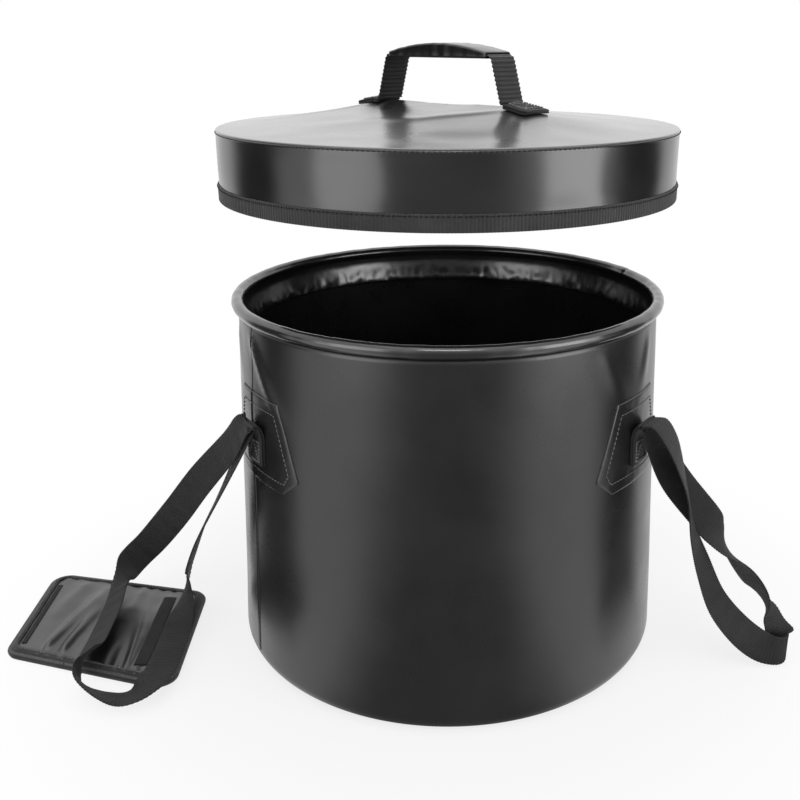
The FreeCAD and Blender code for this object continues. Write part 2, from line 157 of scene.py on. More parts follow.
# Routes of the straps: offset from the hinge, height, and width direction
LEFT_ROUTE = [
    (-6, 1, 209, (0.45, -0.84, -0.30)),
    (-18, 12, 190, (0.42, -0.66, -0.62)),
    (-48, 35, 152, (0.60, -0.42, -0.68)),
    (-76, 59, 113, (0.71, -0.24, -0.66)),
    (-106, 83, 74, (0.78, 0.00, -0.62)),
    (-126, 98, 51, (0.80, -0.10, -0.58)),
    (-138, 106, 36, (0.85, -0.35, -0.40)),
    (-144, 104, 25, (0.74, -0.60, 0.10)),
    (-145, 91, 19.5, (0.78, -0.15, 0.58)),
    (-142, 60, 17.5, (0.84, 0.00, 0.54)),
    (-140, 30, 17.5, (0.85, 0.00, 0.53)),
    (-139, 4, 18, (0.84, 0.00, 0.54)),
    (-139.5, -9, 19.8, (0.60, 0.00, 0.80)),
    (-141, -19, 16.8, (0.15, 0.00, 0.99)),
    (-139, -29, 14.5, (-0.15, -0.20, 0.97)),
    (-131, -37, 12.5, (-0.30, -0.55, 0.78)),
    (-118, -42, 8.5, (-0.15, -0.85, 0.50)),
    (-104, -44, 5.6, (0.05, -0.97, 0.24)),
    (-92, -42, 8, (0.42, -0.88, 0.15)),
    (-84, -33, 11, (0.75, -0.65, 0.05)),
    (-80, -14, 10.6, (0.97, -0.22, 0.00)),
    (-80, 10, 9.9, (1.00, -0.05, 0.00)),
    (-81, 40, 10.8, (0.99, 0.00, 0.12)),
    (-82, 64, 15.8, (0.90, 0.00, 0.44)),
    (-83, 82, 21.2, (0.55, -0.10, 0.83)),
    (-83, 95, 30, (0.20, -0.55, 0.80)),
    (-80, 98, 44, (0.05, -0.93, 0.30)),
    (-65, 83, 80, (-0.22, -0.88, -0.42)),
    (-44, 54, 120, (-0.20, -0.86, -0.46)),
    (-21, 24, 165, (0.00, -0.92, -0.38)),
    (-7, 6, 197, (0.35, -0.92, -0.18)),
]
RIGHT_ROUTE = [
    (8, -4.6, 215, (0.55, 0.83, 0.00)),
    (16, -7.5, 204, (0.46, 0.88, 0.06)),
    (23, -7, 188, (0.32, 0.93, 0.10)),
    (32, -4, 160, (0.15, 0.98, 0.12)),
    (40, 0, 125, (0.26, 0.92, 0.30)),
    (52, 3, 92, (0.45, 0.78, 0.43)),
    (66, 6, 60, (0.56, 0.68, 0.47)),
    (86, 8, 34, (0.50, 0.50, 0.70)),
    (105, 6, 19, (0.25, 0.25, 0.93)),
    (119, 5, 15, (0.05, 0.05, 1.00)),
    (127.5, 11, 14.5, (0.00, 0.00, 1.00)),
    (126, 20, 17, (0.08, 0.15, 0.98)),
    (122, 26, 26, (0.38, 0.70, 0.60)),
    (117.5, 30, 36, (0.38, 0.81, 0.44)),
    (111.5, 31, 47, (-0.14, 0.98, 0.12)),
    (102, 26, 62, (-0.50, 0.85, -0.15)),
    (91, 22, 78, (-0.53, 0.83, -0.18)),
    (81, 19, 91, (-0.40, 0.90, -0.05)),
    (73, 17, 101, (0.00, 0.98, 0.12)),
    (64, 14, 115, (0.50, 0.75, 0.40)),
    (52, 11, 132, (0.80, 0.20, 0.55)),
    (26, 6, 165, (0.80, 0.30, 0.50)),
    (7, 2, 197, (0.65, 0.74, 0.15)),
]

UP = Vector((0, 0, 1))


def smooth_step(low, high, value):
    share = min(max((value - low) / (high - low), 0.0), 1.0)
    return share * share * (3 - 2 * share)


def swell(value, centre, width):
    """Smooth bump of height 1 about a centre."""
    return math.exp(-((value - centre) / width) ** 2)


def mixed(first, second, share):
    return first + (second - first) * share


def spaced(low, high, count):
    return [mixed(low, high, index / (count - 1)) for index in range(count)]


def ring_place(angle, radius, height):
    """Place at an angle about the axis."""
    return Vector((radius * math.cos(angle), radius * math.sin(angle), height))


def finer(places, step):
    """Places about a step apart on straight runs, without the last one."""
    found = []
    for first, second in zip(places, places[1:]):
        count = max(1, round((second - first).length / step))
        found += [first.lerp(second, index / count) for index in range(count)]
    return found


def dress(piece, slot, body, *replaced):
    """Put a piece on its body, in place of the solids that it replaces. The slot is not used."""
    if replaced:
        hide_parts(*replaced)
    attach(piece, body)


# Materials

def shader(name, colour, roughness):
    """New material with its principled shader set to plain values."""
    material = bpy.data.materials.new(name)
    material.use_nodes = True
    surface = material.node_tree.nodes["Principled BSDF"]
    surface.inputs["Base Color"].default_value = (*colour, 1.0)
    surface.inputs["Roughness"].default_value = roughness
    return material, surface


def node(material, kind, **settings):
    made = material.node_tree.nodes.new(kind)
    for key, value in settings.items():
        if hasattr(made, key):
            setattr(made, key, value)
        else:
            made.inputs[key.replace("_", " ")].default_value = value
    return made


def join(material, source, socket, target, entry):
    material.node_tree.links.new(source.outputs[socket], target.inputs[entry])


def noise_node(material, scale, detail=3.0, coordinates="Object", stretch=(1, 1, 1)):
    """Noise in the piece's own coordinates, or in its UV, stretched along an axis."""
    place = node(material, "ShaderNodeTexCoord")
    fit = node(material, "ShaderNodeMapping")
    fit.inputs["Scale"].default_value = stretch
    texture = node(material, "ShaderNodeTexNoise", Scale=scale, Detail=detail)
    join(material, place, coordinates, fit, "Vector")
    join(material, fit, "Vector", texture, "Vector")
    return texture


def wave_node(material, pitch, direction, distortion=0.0):
    """Bands of a given pitch in metres along U or V."""
    place = node(material, "ShaderNodeTexCoord")
    texture = node(material, "ShaderNodeTexWave", bands_direction=direction, Distortion=distortion)
    texture.inputs["Scale"].default_value = math.pi / (10 * pitch)
    join(material, place, "UV", texture, "Vector")
    return texture


def vary_roughness(material, surface, texture, low, high):
    spread = node(material, "ShaderNodeMapRange", From_Min=0.3, From_Max=0.7, To_Min=low, To_Max=high)
    join(material, texture, "Fac", spread, "Value")
    join(material, spread, "Result", surface, "Roughness")


def vary_colour(material, surface, texture, colour, dark, light):
    """Colour that wanders between two shares of itself."""
    ramp = node(material, "ShaderNodeValToRGB")
    for stop, position, share in zip(ramp.color_ramp.elements, (0.3, 0.7), (dark, light)):
        stop.position = position
        stop.color = (*[share * part for part in colour], 1.0)
    join(material, texture, "Fac", ramp, "Fac")
    join(material, ramp, "Color", surface, "Base Color")


def relief(material, surface, layers):
    """Chain of bump layers, each a texture with its height in metres."""
    last = None
    for texture, height in layers:
        bump = node(material, "ShaderNodeBump", Strength=1.0, Distance=height)
        join(material, texture, "Fac", bump, "Height")
        if last:
            join(material, last, "Normal", bump, "Normal")
        last = bump
    join(material, last, "Normal", surface, "Normal")


def coated_fabric(name, colour, rough_low, rough_high, crumple, shine, coat=0.0):
    """Satin coated fabric: faint weave under the coat, fine grain and soft crumples."""
    material, surface = shader(name, colour, rough_low)
    surface.inputs["Specular IOR Level"].default_value = shine
    surface.inputs["Coat Weight"].default_value = coat
    surface.inputs["Coat Roughness"].default_value = rough_low
    blotches = noise_node(material, 22.0, 4.0)
    vary_roughness(material, surface, blotches, rough_low, rough_high)
    vary_colour(material, surface, blotches, colour, 0.8, 1.2)
    relief(material, surface, [
        (noise_node(material, 9.0, 2.0), crumple),
        (wave_node(material, 0.0011, "X"), 0.000004),
        (wave_node(material, 0.0011, "Y"), 0.000006),
        (noise_node(material, 1400.0, 2.0), 0.000008),
    ])
    return material


def woven(name, colour, roughness, pitch, height, sheen):
    """Woven yarn: crossing ribs, fuzz and slight fading."""
    material, surface = shader(name, colour, roughness)
    surface.inputs["Sheen Weight"].default_value = sheen
    surface.inputs["Sheen Roughness"].default_value = 0.4
    surface.inputs["Specular IOR Level"].default_value = 0.35
    fade = noise_node(material, 60.0, 4.0)
    vary_colour(material, surface, fade, colour, 0.75, 1.35)
    relief(material, surface, [
        (wave_node(material, pitch, "X"), height),
        (wave_node(material, pitch * 1.3, "Y"), height),
        (noise_node(material, 2600.0, 2.0), height * 0.6),
    ])
    return material


def plain_plastic(name, colour, roughness):
    material, surface = shader(name, colour, roughness)
    grain = noise_node(material, 900.0, 3.0)
    vary_roughness(material, surface, grain, roughness - 0.05, roughness + 0.08)
    relief(material, surface, [(grain, 0.00003)])
    return material


def foam_material(name, colour):
    material, surface = shader(name, colour, 0.9)
    pores = noise_node(material, 700.0, 2.0)
    vary_colour(material, surface, pores, colour, 0.7, 1.2)
    relief(material, surface, [(pores, 0.0002)])
    return material


SHELL = coated_fabric("shell_fabric", (0.010, 0.010, 0.0105), 0.24, 0.32, 0.0010, 0.72)
RIM_SHELL = coated_fabric("rim_fabric", (0.010, 0.010, 0.0105), 0.20, 0.28, 0.0006, 0.9, 0.4)
LID_SHELL = coated_fabric("lid_fabric", (0.012, 0.012, 0.0125), 0.16, 0.22, 0.0008, 0.80)
# The lid top is the lid fabric made a little lighter (0.014 against 0.012) and glossier: a painted highlight
# over the top.
LID_TOP_SHELL_WITH_HIGHLIGHT = coated_fabric("lid_top_fabric_with_painted_highlight", (0.014, 0.014, 0.0145), 0.25, 0.31, 0.0008, 1.0, 1.0)
PAD_SHELL = coated_fabric("pad_fabric", (0.017, 0.017, 0.018), 0.32, 0.38, 0.0004, 0.8, 0.25)
STRAP_WEB = woven("strap_webbing", (0.0090, 0.0090, 0.0088), 0.62, 0.0009, 0.00010, 0.11)
TAB_WEB = woven("tab_webbing", (0.011, 0.011, 0.011), 0.6, 0.0009, 0.00010, 0.1)
LID_WEB = woven("lid_webbing", (0.012, 0.012, 0.012), 0.6, 0.0009, 0.00010, 0.2)
HEM_WEB = woven("hem_webbing", (0.023, 0.023, 0.0235), 0.6, 0.0007, 0.00008, 0.3)
TAPE = woven("binding_tape", (0.024, 0.024, 0.025), 0.75, 0.0007, 0.00012, 0.3)
CLOSURE = woven("closure_tape", (0.010, 0.010, 0.010), 0.9, 0.0006, 0.0002, 0.1)
THREAD = woven("thread", (0.16, 0.16, 0.162), 0.5, 0.0004, 0.00005, 0.2)
HOOP = plain_plastic("hoop_plastic", (0.05, 0.05, 0.05), 0.45)
FOAM = foam_material("foam", (0.09, 0.09, 0.092))


# Mesh making

def finish_mesh(name, points, faces, material, uvs=None):
    mesh = bpy.data.meshes.new(name)
    mesh.from_pydata([Vector(place) * MM for place in points], [], faces)
    layer = mesh.uv_layers.new(name="UVMap")
    if uvs:
        for corner, (u, v) in zip(layer.data, uvs):
            corner.uv = (u * MM, v * MM)
    shell = bmesh.new()
    shell.from_mesh(mesh)
    bmesh.ops.recalc_face_normals(shell, faces=shell.faces)
    shell.to_mesh(mesh)
    shell.free()
    for polygon in mesh.polygons:
        polygon.use_smooth = True
    mesh.materials.append(material)
    piece = bpy.data.objects.new(name, mesh)
    bpy.context.scene.collection.objects.link(piece)
    return piece


def cells(height, width, closed=False, wrap=False):
    """Corners of each cell in a grid of points, as (row, column)."""
    for r in range(height if closed else height - 1):
        for c in range(width if wrap else width - 1):
            yield [(r, c), (r, c + 1), (r + 1, c + 1), (r + 1, c)]


def grid_piece(name, rows, material, across, along, wrap=False, closed=False, caps=False):
    """Piece from rows of points. wrap closes the columns, closed closes the rows."""
    height = len(rows)
    width = len(rows[0])
    points = [place for row in rows for place in row]
    faces = []
    uvs = []
    for cell in cells(height, width, closed, wrap):
        faces.append([(i % height) * width + j % width for i, j in cell])
        uvs += [(across[j], along[i]) for i, j in cell]
    if caps:
        faces.append(list(range(width)))
        faces.append([(height - 1) * width + c for c in range(width)])
        uvs += [(across[c], along[0]) for c in range(width)]
        uvs += [(across[c], along[-1]) for c in range(width)]
    return finish_mesh(name, points, faces, material, uvs)


def run_lengths(places, close=False):
    """Distance along a row of places, with the way back to the first if closed."""
    places = [Vector(place) for place in places]
    if close:
        places.append(places[0])
    lengths = [0.0]
    for last, now in zip(places, places[1:]):
        lengths.append(lengths[-1] + (now - last).length)
    return lengths


def turned_piece(name, profile, material, columns, shape, mean_radius):
    """Closed profile of (radius, height) turned about the axis; shape moves each point."""
    angles = [2 * math.pi * index / columns for index in range(columns)]
    rows = []
    for radius, height in profile:
        rows.append([shape(angle, radius, height) for angle in angles])
    across = [2 * math.pi * mean_radius * index / columns for index in range(columns + 1)]
    along = run_lengths([(r, 0, h) for r, h in profile], close=True)
    return grid_piece(name, rows, material, across, along, wrap=True, closed=True)


def swept_piece(name, stations, material, caps=True):
    """Piece from stations, each a list of section points."""
    middles = [sum((Vector(p) for p in section), Vector()) / len(section) for section in stations]
    across = run_lengths(stations[0], close=True)
    return grid_piece(name, stations, material, across, run_lengths(middles), wrap=True, caps=caps)


def slab_piece(name, outer, inner, material, across, along):
    """Thin closed slab from two grids of points that face each other."""
    height = len(outer)
    width = len(outer[0])
    points = [place for row in outer for place in row] + [place for row in inner for place in row]
    faces = []
    uvs = []
    back = height * width
    for cell in cells(height, width):
        for first, side in ((0, cell), (back, cell[::-1])):
            faces.append([first + i * width + j for i, j in side])
            uvs += [(across[j], along[i]) for i, j in side]
    edge = [(0, c) for c in range(width)] + [(r, width - 1) for r in range(1, height)]
    edge += [(height - 1, c) for c in reversed(range(width - 1))]
    edge += [(r, 0) for r in reversed(range(1, height - 1))]
    for (i, j), (k, m) in zip(edge, edge[1:] + edge[:1]):
        faces.append([i * width + j, k * width + m, back + k * width + m, back + i * width + j])
        uvs += [(across[j], along[i]), (across[m], along[k]), (across[m], along[k]), (across[j], along[i])]
    return finish_mesh(name, points, faces, material, uvs)


STITCH_SIDES = 6
STITCH_STEPS = 5


def thread_piece(name, runs, stitch, material=THREAD):
    """Rows of sewn stitches. A run is a list of (place, normal) along the seam line."""
    pitch, radius = stitch
    points = []
    faces = []
    for run in runs:
        lengths = run_lengths([place for place, normal in run])
        count = max(1, round(lengths[-1] / pitch))
        for index in range(count):
            start = lengths[-1] * (index + 0.12) / count
            end = lengths[-1] * (index + 0.88) / count
            first = len(points)
            for step in range(STITCH_STEPS):
                share = step / (STITCH_STEPS - 1)
                place, normal, heading = along_run(run, lengths, mixed(start, end, share))
                arch = math.sin(math.pi * share)
                place = place + normal * (radius * (1.1 * arch - 0.25))
                side = heading.cross(normal).normalized()
                thin = radius * (0.55 + 0.45 * arch)
                for turn in range(STITCH_SIDES):
                    angle = 2 * math.pi * turn / STITCH_SIDES
                    points.append(place + (side * math.cos(angle) + normal * math.sin(angle)) * thin)
            for cell in cells(STITCH_STEPS, STITCH_SIDES, wrap=True):
                faces.append([first + i * STITCH_SIDES + j % STITCH_SIDES for i, j in cell])
            last = first + (STITCH_STEPS - 1) * STITCH_SIDES
            faces += [[tip + turn for turn in range(STITCH_SIDES)] for tip in (first, last)]
    return finish_mesh(name, points, faces, material)


def along_run(run, lengths, distance):
    """Place, normal and heading at a distance along a seam line."""
    index = 0
    while index < len(run) - 2 and lengths[index + 1] < distance:
        index += 1
    span = max(lengths[index + 1] - lengths[index], 1e-6)
    share = min(max((distance - lengths[index]) / span, 0.0), 1.0)
    first, second = Vector(run[index][0]), Vector(run[index + 1][0])
    normal = Vector(run[index][1]).lerp(Vector(run[index + 1][1]), share).normalized()
    return first.lerp(second, share), normal, (second - first).normalized()


def fine_run(corners, step):
    """Points along straight runs between (across, height) corners."""
    places = []
    for first, second in zip(corners, corners[1:]):
        count = max(2, round(math.dist(first, second) / step))
        for index in range(count):
            share = index / count
            places.append((mixed(first[0], second[0], share), mixed(first[1], second[1], share)))
    places.append(corners[-1])
    return places


# Bucket wall and what is sewn to it

def turn_from_front(degrees):
    """Angle about the axis from +X, for a place given in degrees to the right of the front."""
    return math.radians(degrees - 90.0)


def wall_radius(height):
    share = (height - FOOT_ROUND) / (WALL_TOP - FOOT_ROUND)
    return FOOT_RADIUS + (MOUTH_RADIUS - FOOT_RADIUS) * share


# Soft folds below the rim: degrees right of the front and height at both ends, width, rise
WALL_FOLDS = [
    (-61, 277, -47, 228, 6.5, 2.0),
    (-74, 276, -70, 240, 8.0, 1.0),
    (40, 276, 49, 236, 8.0, 1.2),
    (64, 276, 60, 240, 6.0, 1.1),
]


def wall_folds(angle, height):
    """Outward folds of the wall where the rim and the straps pull on it."""
    total = 0.0
    if height < 200:
        return total
    for first, high, second, low, width, rise in WALL_FOLDS:
        share = (high - height) / (high - low)
        if -0.2 < share < 1.3:
            middle = turn_from_front(mixed(first, second, share))
            away = math.remainder(angle - middle, 2 * math.pi) * MOUTH_RADIUS
            fade = smooth_step(-0.1, 0.25, share) * (1 - smooth_step(0.5, 1.3, share))
            total += rise * fade * math.exp(-(away / (width * (0.7 + 0.6 * share))) ** 2)
    return total


def wall_wave(angle, height):
    """Unevenness of the soft wall, none at the rim and the foot."""
    fade = smooth_step(16, 60, height) * (1 - smooth_step(215, 262, height))
    slow = 0.45 * math.sin(3 * angle + 0.6) * math.sin(height / 61.0)
    quick = 0.22 * math.sin(7 * angle + height / 43.0 + 1.1)
    rough = 0.35 * noise.noise(Vector((2.2 * math.cos(angle), 2.2 * math.sin(angle), height / 70.0)))
    return fade * (slow + quick + rough) + wall_folds(angle, height)


def wall_place(angle, height, offset):
    return ring_place(angle, wall_radius(height) + wall_wave(angle, height) + offset, height)


def wall_normal(angle):
    return Vector((math.cos(angle), math.sin(angle), 0.04)).normalized()


def on_wall(piece, slot, *replaced):
    """Let a piece ride on the wall, with a mesh of its own."""
    dress(piece, slot, "wall", *replaced)
    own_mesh(piece)


def foot_arc(radius):
    centre = FOOT_RADIUS - FOOT_ROUND
    places = []
    for index in range(10):
        angle = -math.pi / 2 + math.pi / 2 * index / 9
        places.append((centre + radius * math.cos(angle), FOOT_ROUND + radius * math.sin(angle)))
    return places


def make_wall():
    floor_edge = FOOT_RADIUS - FOOT_ROUND
    heights = spaced(FOOT_ROUND, WALL_TOP, 64)[1:]
    profile = [(radius, 0.0) for radius in spaced(FLANGE_RADIUS, floor_edge, 5)[:-1]]
    profile += foot_arc(FOOT_ROUND)
    profile += [(wall_radius(height), height) for height in heights]
    profile += [(wall_radius(height) - SHEET, height) for height in reversed(heights)]
    profile += reversed(foot_arc(FOOT_ROUND - SHEET))
    profile += [(radius, SHEET) for radius in reversed(spaced(FLANGE_RADIUS, floor_edge, 5)[:-1])]

    def shape(angle, radius, height):
        return ring_place(angle, radius + wall_wave(angle, height), height)

    piece = turned_piece("bucket_wall", profile, SHELL, WALL_COLUMNS, shape, FOOT_RADIUS)
    on_wall(piece, "shell", "side_wall")


def make_seam():
    middle = turn_from_front(-SEAM_ANGLE)
    offsets = [-1.0, -0.94, -0.7, -0.35, 0.0, 0.35, 0.7, 0.94, 1.0]
    heights = spaced(FOOT_ROUND + 0.5, WALL_TOP - 0.5, 90)
    outer = []
    inner = []
    for height in heights:
        reach = SEAM_WIDTH / 2 / MOUTH_RADIUS
        swollen = SEAM_THICKNESS * (1 - 0.75 * smooth_step(228, 242, height))
        thick = [0.1 if abs(offset) == 1 else swollen for offset in offsets]
        outer.append([wall_place(middle + o * reach, height, SEW_GAP + t) for o, t in zip(offsets, thick)])
        inner.append([wall_place(middle + o * reach, height, SEW_GAP * 0.5) for o in offsets])
    piece = slab_piece("wall_seam", outer, inner, SHELL, [o * SEAM_WIDTH / 2 for o in offsets], heights)
    on_wall(piece, "shell", "side_seam_tape")


def patch_half_width(height, inset=0.0):
    for (low, first), (high, second) in zip(PATCH_WIDTHS, PATCH_WIDTHS[1:]):
        if height <= high:
            return mixed(first, second, (height - low) / (high - low)) / 2 - inset
    return PATCH_WIDTHS[-1][1] / 2 - inset


def seam_ridge(angle):
    """How far a patch stands off where the seam passes under it."""
    middle = turn_from_front(-SEAM_ANGLE)
    reach = SEAM_WIDTH / 2
    away = abs(math.remainder(angle - middle, 2 * math.pi)) * MOUTH_RADIUS
    return (SEAM_THICKNESS + SEW_GAP) * (1 - smooth_step(reach, reach + 1.6, away))


def patch_place(side, across, height, offset):
    angle = turn_from_front(side * HANDLE_ANGLE) + across / wall_radius(height)
    return wall_place(angle, height, offset + seam_ridge(angle))


def make_patch(side, name):
    edge = [-1.0, -0.985, -0.95]
    shares = edge + spaced(-0.9, 0.9, 60) + [-share for share in reversed(edge)]
    levels = [PATCH_BOTTOM, PATCH_BOTTOM + 0.5, PATCH_BOTTOM + 1.5]
    levels += spaced(PATCH_BOTTOM + 3, PATCH_TOP - 3, 50)
    levels += [PATCH_TOP - 1.5, PATCH_TOP - 0.5, PATCH_TOP]
    outer = []
    inner = []
    for level, height in enumerate(levels):
        border = min(level, len(levels) - 1 - level)
        row = []
        under = []
        for share in shares:
            across = share * patch_half_width(height)
            edge_drop = (0.75, 0.2, 0.0)[min(border, 2)]
            if abs(share) == 1.0:
                edge_drop = 0.75
            elif abs(share) > 0.98:
                edge_drop = max(edge_drop, 0.2)
            ripple = 0.12 * noise.noise(Vector((across / 9.0, height / 9.0, side * 3.0)))
            row.append(patch_place(side, across, height, SEW_GAP + SHEET - edge_drop + ripple))
            under.append(patch_place(side, across, height, SEW_GAP * 0.6))
        outer.append(row)
        inner.append(under)
    across = [share * PATCH_WIDTH / 2 for share in shares]
    piece = slab_piece(name + "_patch_cover", outer, inner, SHELL, across, levels)
    on_wall(piece, "shell", name + "_patch")


def make_patch_stitches(side, name):
    inset = PATCH_STITCH_INSET
    low = PATCH_BOTTOM + inset
    high = PATCH_TOP - inset
    shoulder = PATCH_SHOULDER + 3.0
    half = [
        (patch_half_width(low, inset), low), (patch_half_width(shoulder, inset), shoulder),
        (patch_half_width(high, inset * 0.9), high),
    ]
    mirror = [(-across, height) for across, height in half]
    corners = mirror + half[::-1] + mirror[:1]
    run = []
    for across, height in fine_run(corners, 3.0):
        angle = turn_from_front(side * HANDLE_ANGLE) + across / wall_radius(height)
        run.append((patch_place(side, across, height, SEW_GAP + SHEET + 0.05), wall_normal(angle)))
    piece = thread_piece(name + "_patch_stitches", [run], PATCH_STITCH)
    on_wall(piece, "shell")


def outward(side):
    turn = math.radians(HANDLE_ANGLE)
    return Vector((side * math.sin(turn), -math.cos(turn), 0))


def across_anchor(side):
    return UP.cross(outward(side))


def hinge(side):
    return outward(side) * HINGE_RADIUS + UP * HINGE_HEIGHT


def tab_path():
    """Middle line of a strap tab as (radius, height): up the wall, then the bend out to the hinge."""
    middle = TAB_BASE + TAB_THICKNESS / 2
    lip = HINGE_RADIUS - ROOT_RADIUS - RUN_GAP
    path = [(wall_radius(height) + middle, height) for height in spaced(TAB_BOTTOM, TAB_BEND - 3, 14)]
    start = wall_radius(TAB_BEND) + middle
    for share in spaced(0.0, 1.0, 10)[1:]:
        turn = share * math.pi / 2
        radius = mixed(start, lip, 1 - math.cos(turn))
        path.append((radius, mixed(TAB_BEND - 3, HINGE_HEIGHT, math.sin(turn))))
    return path


TAB_SECTION = [
    (-12.5, -0.9), (-12.3, -1.5), (-8.0, -1.64), (0.0, -1.64), (8.0, -1.64), (12.3, -1.5), (12.5, -0.9),
    (12.3, -0.15), (11.9, 0.0), (12.3, 0.15),
    (12.5, 0.9), (12.3, 1.5), (8.0, 1.64), (0.0, 1.64), (-8.0, 1.64), (-12.3, 1.5), (-12.5, 0.9),
    (-12.3, 0.15), (-11.9, 0.0), (-12.3, -0.15),
]


def make_tab(side, name):
    path = tab_path()
    angle = turn_from_front(side * HANDLE_ANGLE)
    stations = []
    for index, (radius, height) in enumerate(path):
        before = path[max(index - 1, 0)]
        after = path[min(index + 1, len(path) - 1)]
        heading = (outward(side) * (after[0] - before[0]) + UP * (after[1] - before[1])).normalized()
        face = across_anchor(side).cross(heading).normalized()
        if face.dot(outward(side)) < 0:
            face = -face
        straight = smooth_step(TAB_BEND - 6, TAB_BEND + 4, height)
        lift = wall_wave(angle, height) + seam_ridge(angle) * (1 - straight)
        section = []
        for across, through in TAB_SECTION:
            sag = across * across / (2 * wall_radius(height)) * (1 - straight)
            base = outward(side) * (radius + lift - sag) + UP * height
            section.append(base + across_anchor(side) * across + face * through)
        stations.append(section)
    piece = swept_piece(name + "_tab_webbing", stations, TAB_WEB)
    on_wall(piece, "webbing", name + "_strap_tab")
    top = TAB_BEND - 6
    low = TAB_BOTTOM + 2.5
    runs = []
    half = BOX_STITCH_HALF
    box = [(-half, low), (half, low), (half, top), (-half, top), (-half, low)]
    cross = [[(-half, low), (0.0, top)], [(half, low), (0.0, top)]]
    for corners in [box] + cross:
        run = []
        for across, height in fine_run(corners, 2.5):
            sag = across * across / (2 * wall_radius(height))
            lift = wall_wave(angle, height) + seam_ridge(angle)
            radius = wall_radius(height) + TAB_BASE + TAB_THICKNESS + lift - sag + 0.1
            place = outward(side) * radius + across_anchor(side) * across + UP * height
            run.append((place, outward(side)))
        runs.append(run)
    stitches = thread_piece(name + "_tab_stitches", runs, TAB_STITCH)
    on_wall(stitches, "webbing")


# Carrying straps

def strap_stations(side, route):
    root = hinge(side)
    lift = UP * ((WEBBING + SEW_GAP) / 2)
    stations = [(root + lift, across_anchor(side))]
    for along_x, along_y, height, width in route:
        stations.append((Vector((root.x + along_x, root.y + along_y, height)), Vector(width)))
    stations.append((root - lift, across_anchor(side)))
    return stations


def curve_between(before, first, second, after, share):
    """Point of a smooth curve through four places in a row, between the middle two."""
    square = share * share
    cube = square * share
    return 0.5 * (
        2 * first + (second - before) * share
        + (2 * before - 5 * first + 4 * second - after) * square
        + (3 * first - before - 3 * second + after) * cube
    )


def fine_stations(stations, step):
    """Stations about a step apart on a smooth curve through the given ones."""
    ended = stations[:1] + stations + stations[-1:]
    found = []
    for before, first, second, after in zip(ended, ended[1:], ended[2:], ended[3:]):
        count = max(2, round((second[0] - first[0]).length / step))
        for index in range(count):
            share = index / count
            place = curve_between(before[0], first[0], second[0], after[0], share)
            width = curve_between(before[1], first[1], second[1], after[1], share)
            found.append((place, width))
    return found + stations[-1:]


# Half the outline of webbing as shares of its half width and half thickness, then the other half
WEBBING_SECTION = [
    (-1.0, 0.0), (-0.985, 0.6), (-0.93, 0.95), (-0.5, 1.0),
    (0.0, 1.0), (0.5, 1.0), (0.93, 0.95), (0.985, 0.6),
]
WEBBING_SECTION += [(-u, -v) for u, v in WEBBING_SECTION]


def ribbed_section(place, heading, width, half_width, half_thick, rib, depth):
    """Section of ribbed webbing: rib runs from -1 in a groove to 1 on a crest, depth is its share."""
    spread = (width - heading * width.dot(heading)).normalized()
    face = heading.cross(spread).normalized()
    reach = half_width * (1 + 0.05 * depth * rib)
    thick = half_thick * (1 - depth + depth * rib)
    return [place + spread * (reach * u) + face * (thick * v) for u, v in WEBBING_SECTION]


STRAP_RIB = 2.2
STRAP_RIB_DEPTH = 0.25
STRAP_STEP = 0.55
ROLL_STEPS = 46
ROLL_SIDES = 20


def ribbon(stations, rib_pitch, depth, first_heading=None, last_heading=None):
    """Sections of a webbing run through fine stations."""
    places = [place for place, width in stations]
    lengths = run_lengths(places)
    sections = []
    for index, (place, width) in enumerate(stations):
        heading = places[min(index + 1, len(places) - 1)] - places[max(index - 1, 0)]
        if index == 0 and first_heading:
            heading = first_heading
        if index == len(places) - 1 and last_heading:
            heading = last_heading
        rib = math.cos(2 * math.pi * lengths[index] / rib_pitch)
        sections.append(
            ribbed_section(place, heading.normalized(), width, WEBBING_WIDTH / 2, WEBBING / 2, rib, depth)
        )
    return sections, lengths[-1]


def make_strap(side, route, name):
    stations = fine_stations(strap_stations(side, route), STRAP_STEP)
    sections, length = ribbon(stations, STRAP_RIB, STRAP_RIB_DEPTH, outward(side), -outward(side))
    piece = swept_piece(name + "_strap_webbing", sections, STRAP_WEB)
    body = name + "_handle"
    dress(piece, "webbing", body, name + "_strap")
    roll = []
    for index, across in enumerate(spaced(-WEBBING_WIDTH / 2, WEBBING_WIDTH / 2, ROLL_STEPS)):
        edge = min(index, ROLL_STEPS - 1 - index)
        radius = ROOT_RADIUS * (0.8, 0.95, 1.0)[min(edge, 2)]
        section = []
        for turn in range(ROLL_SIDES):
            angle = 2 * math.pi * turn / ROLL_SIDES
            ring = outward(side) * math.cos(angle) + UP * math.sin(angle)
            section.append(hinge(side) + across_anchor(side) * across + ring * radius)
        roll.append(section)
    fold = swept_piece(name + "_strap_fold", roll, STRAP_WEB)
    dress(fold, "webbing", body)


# Floor and rim

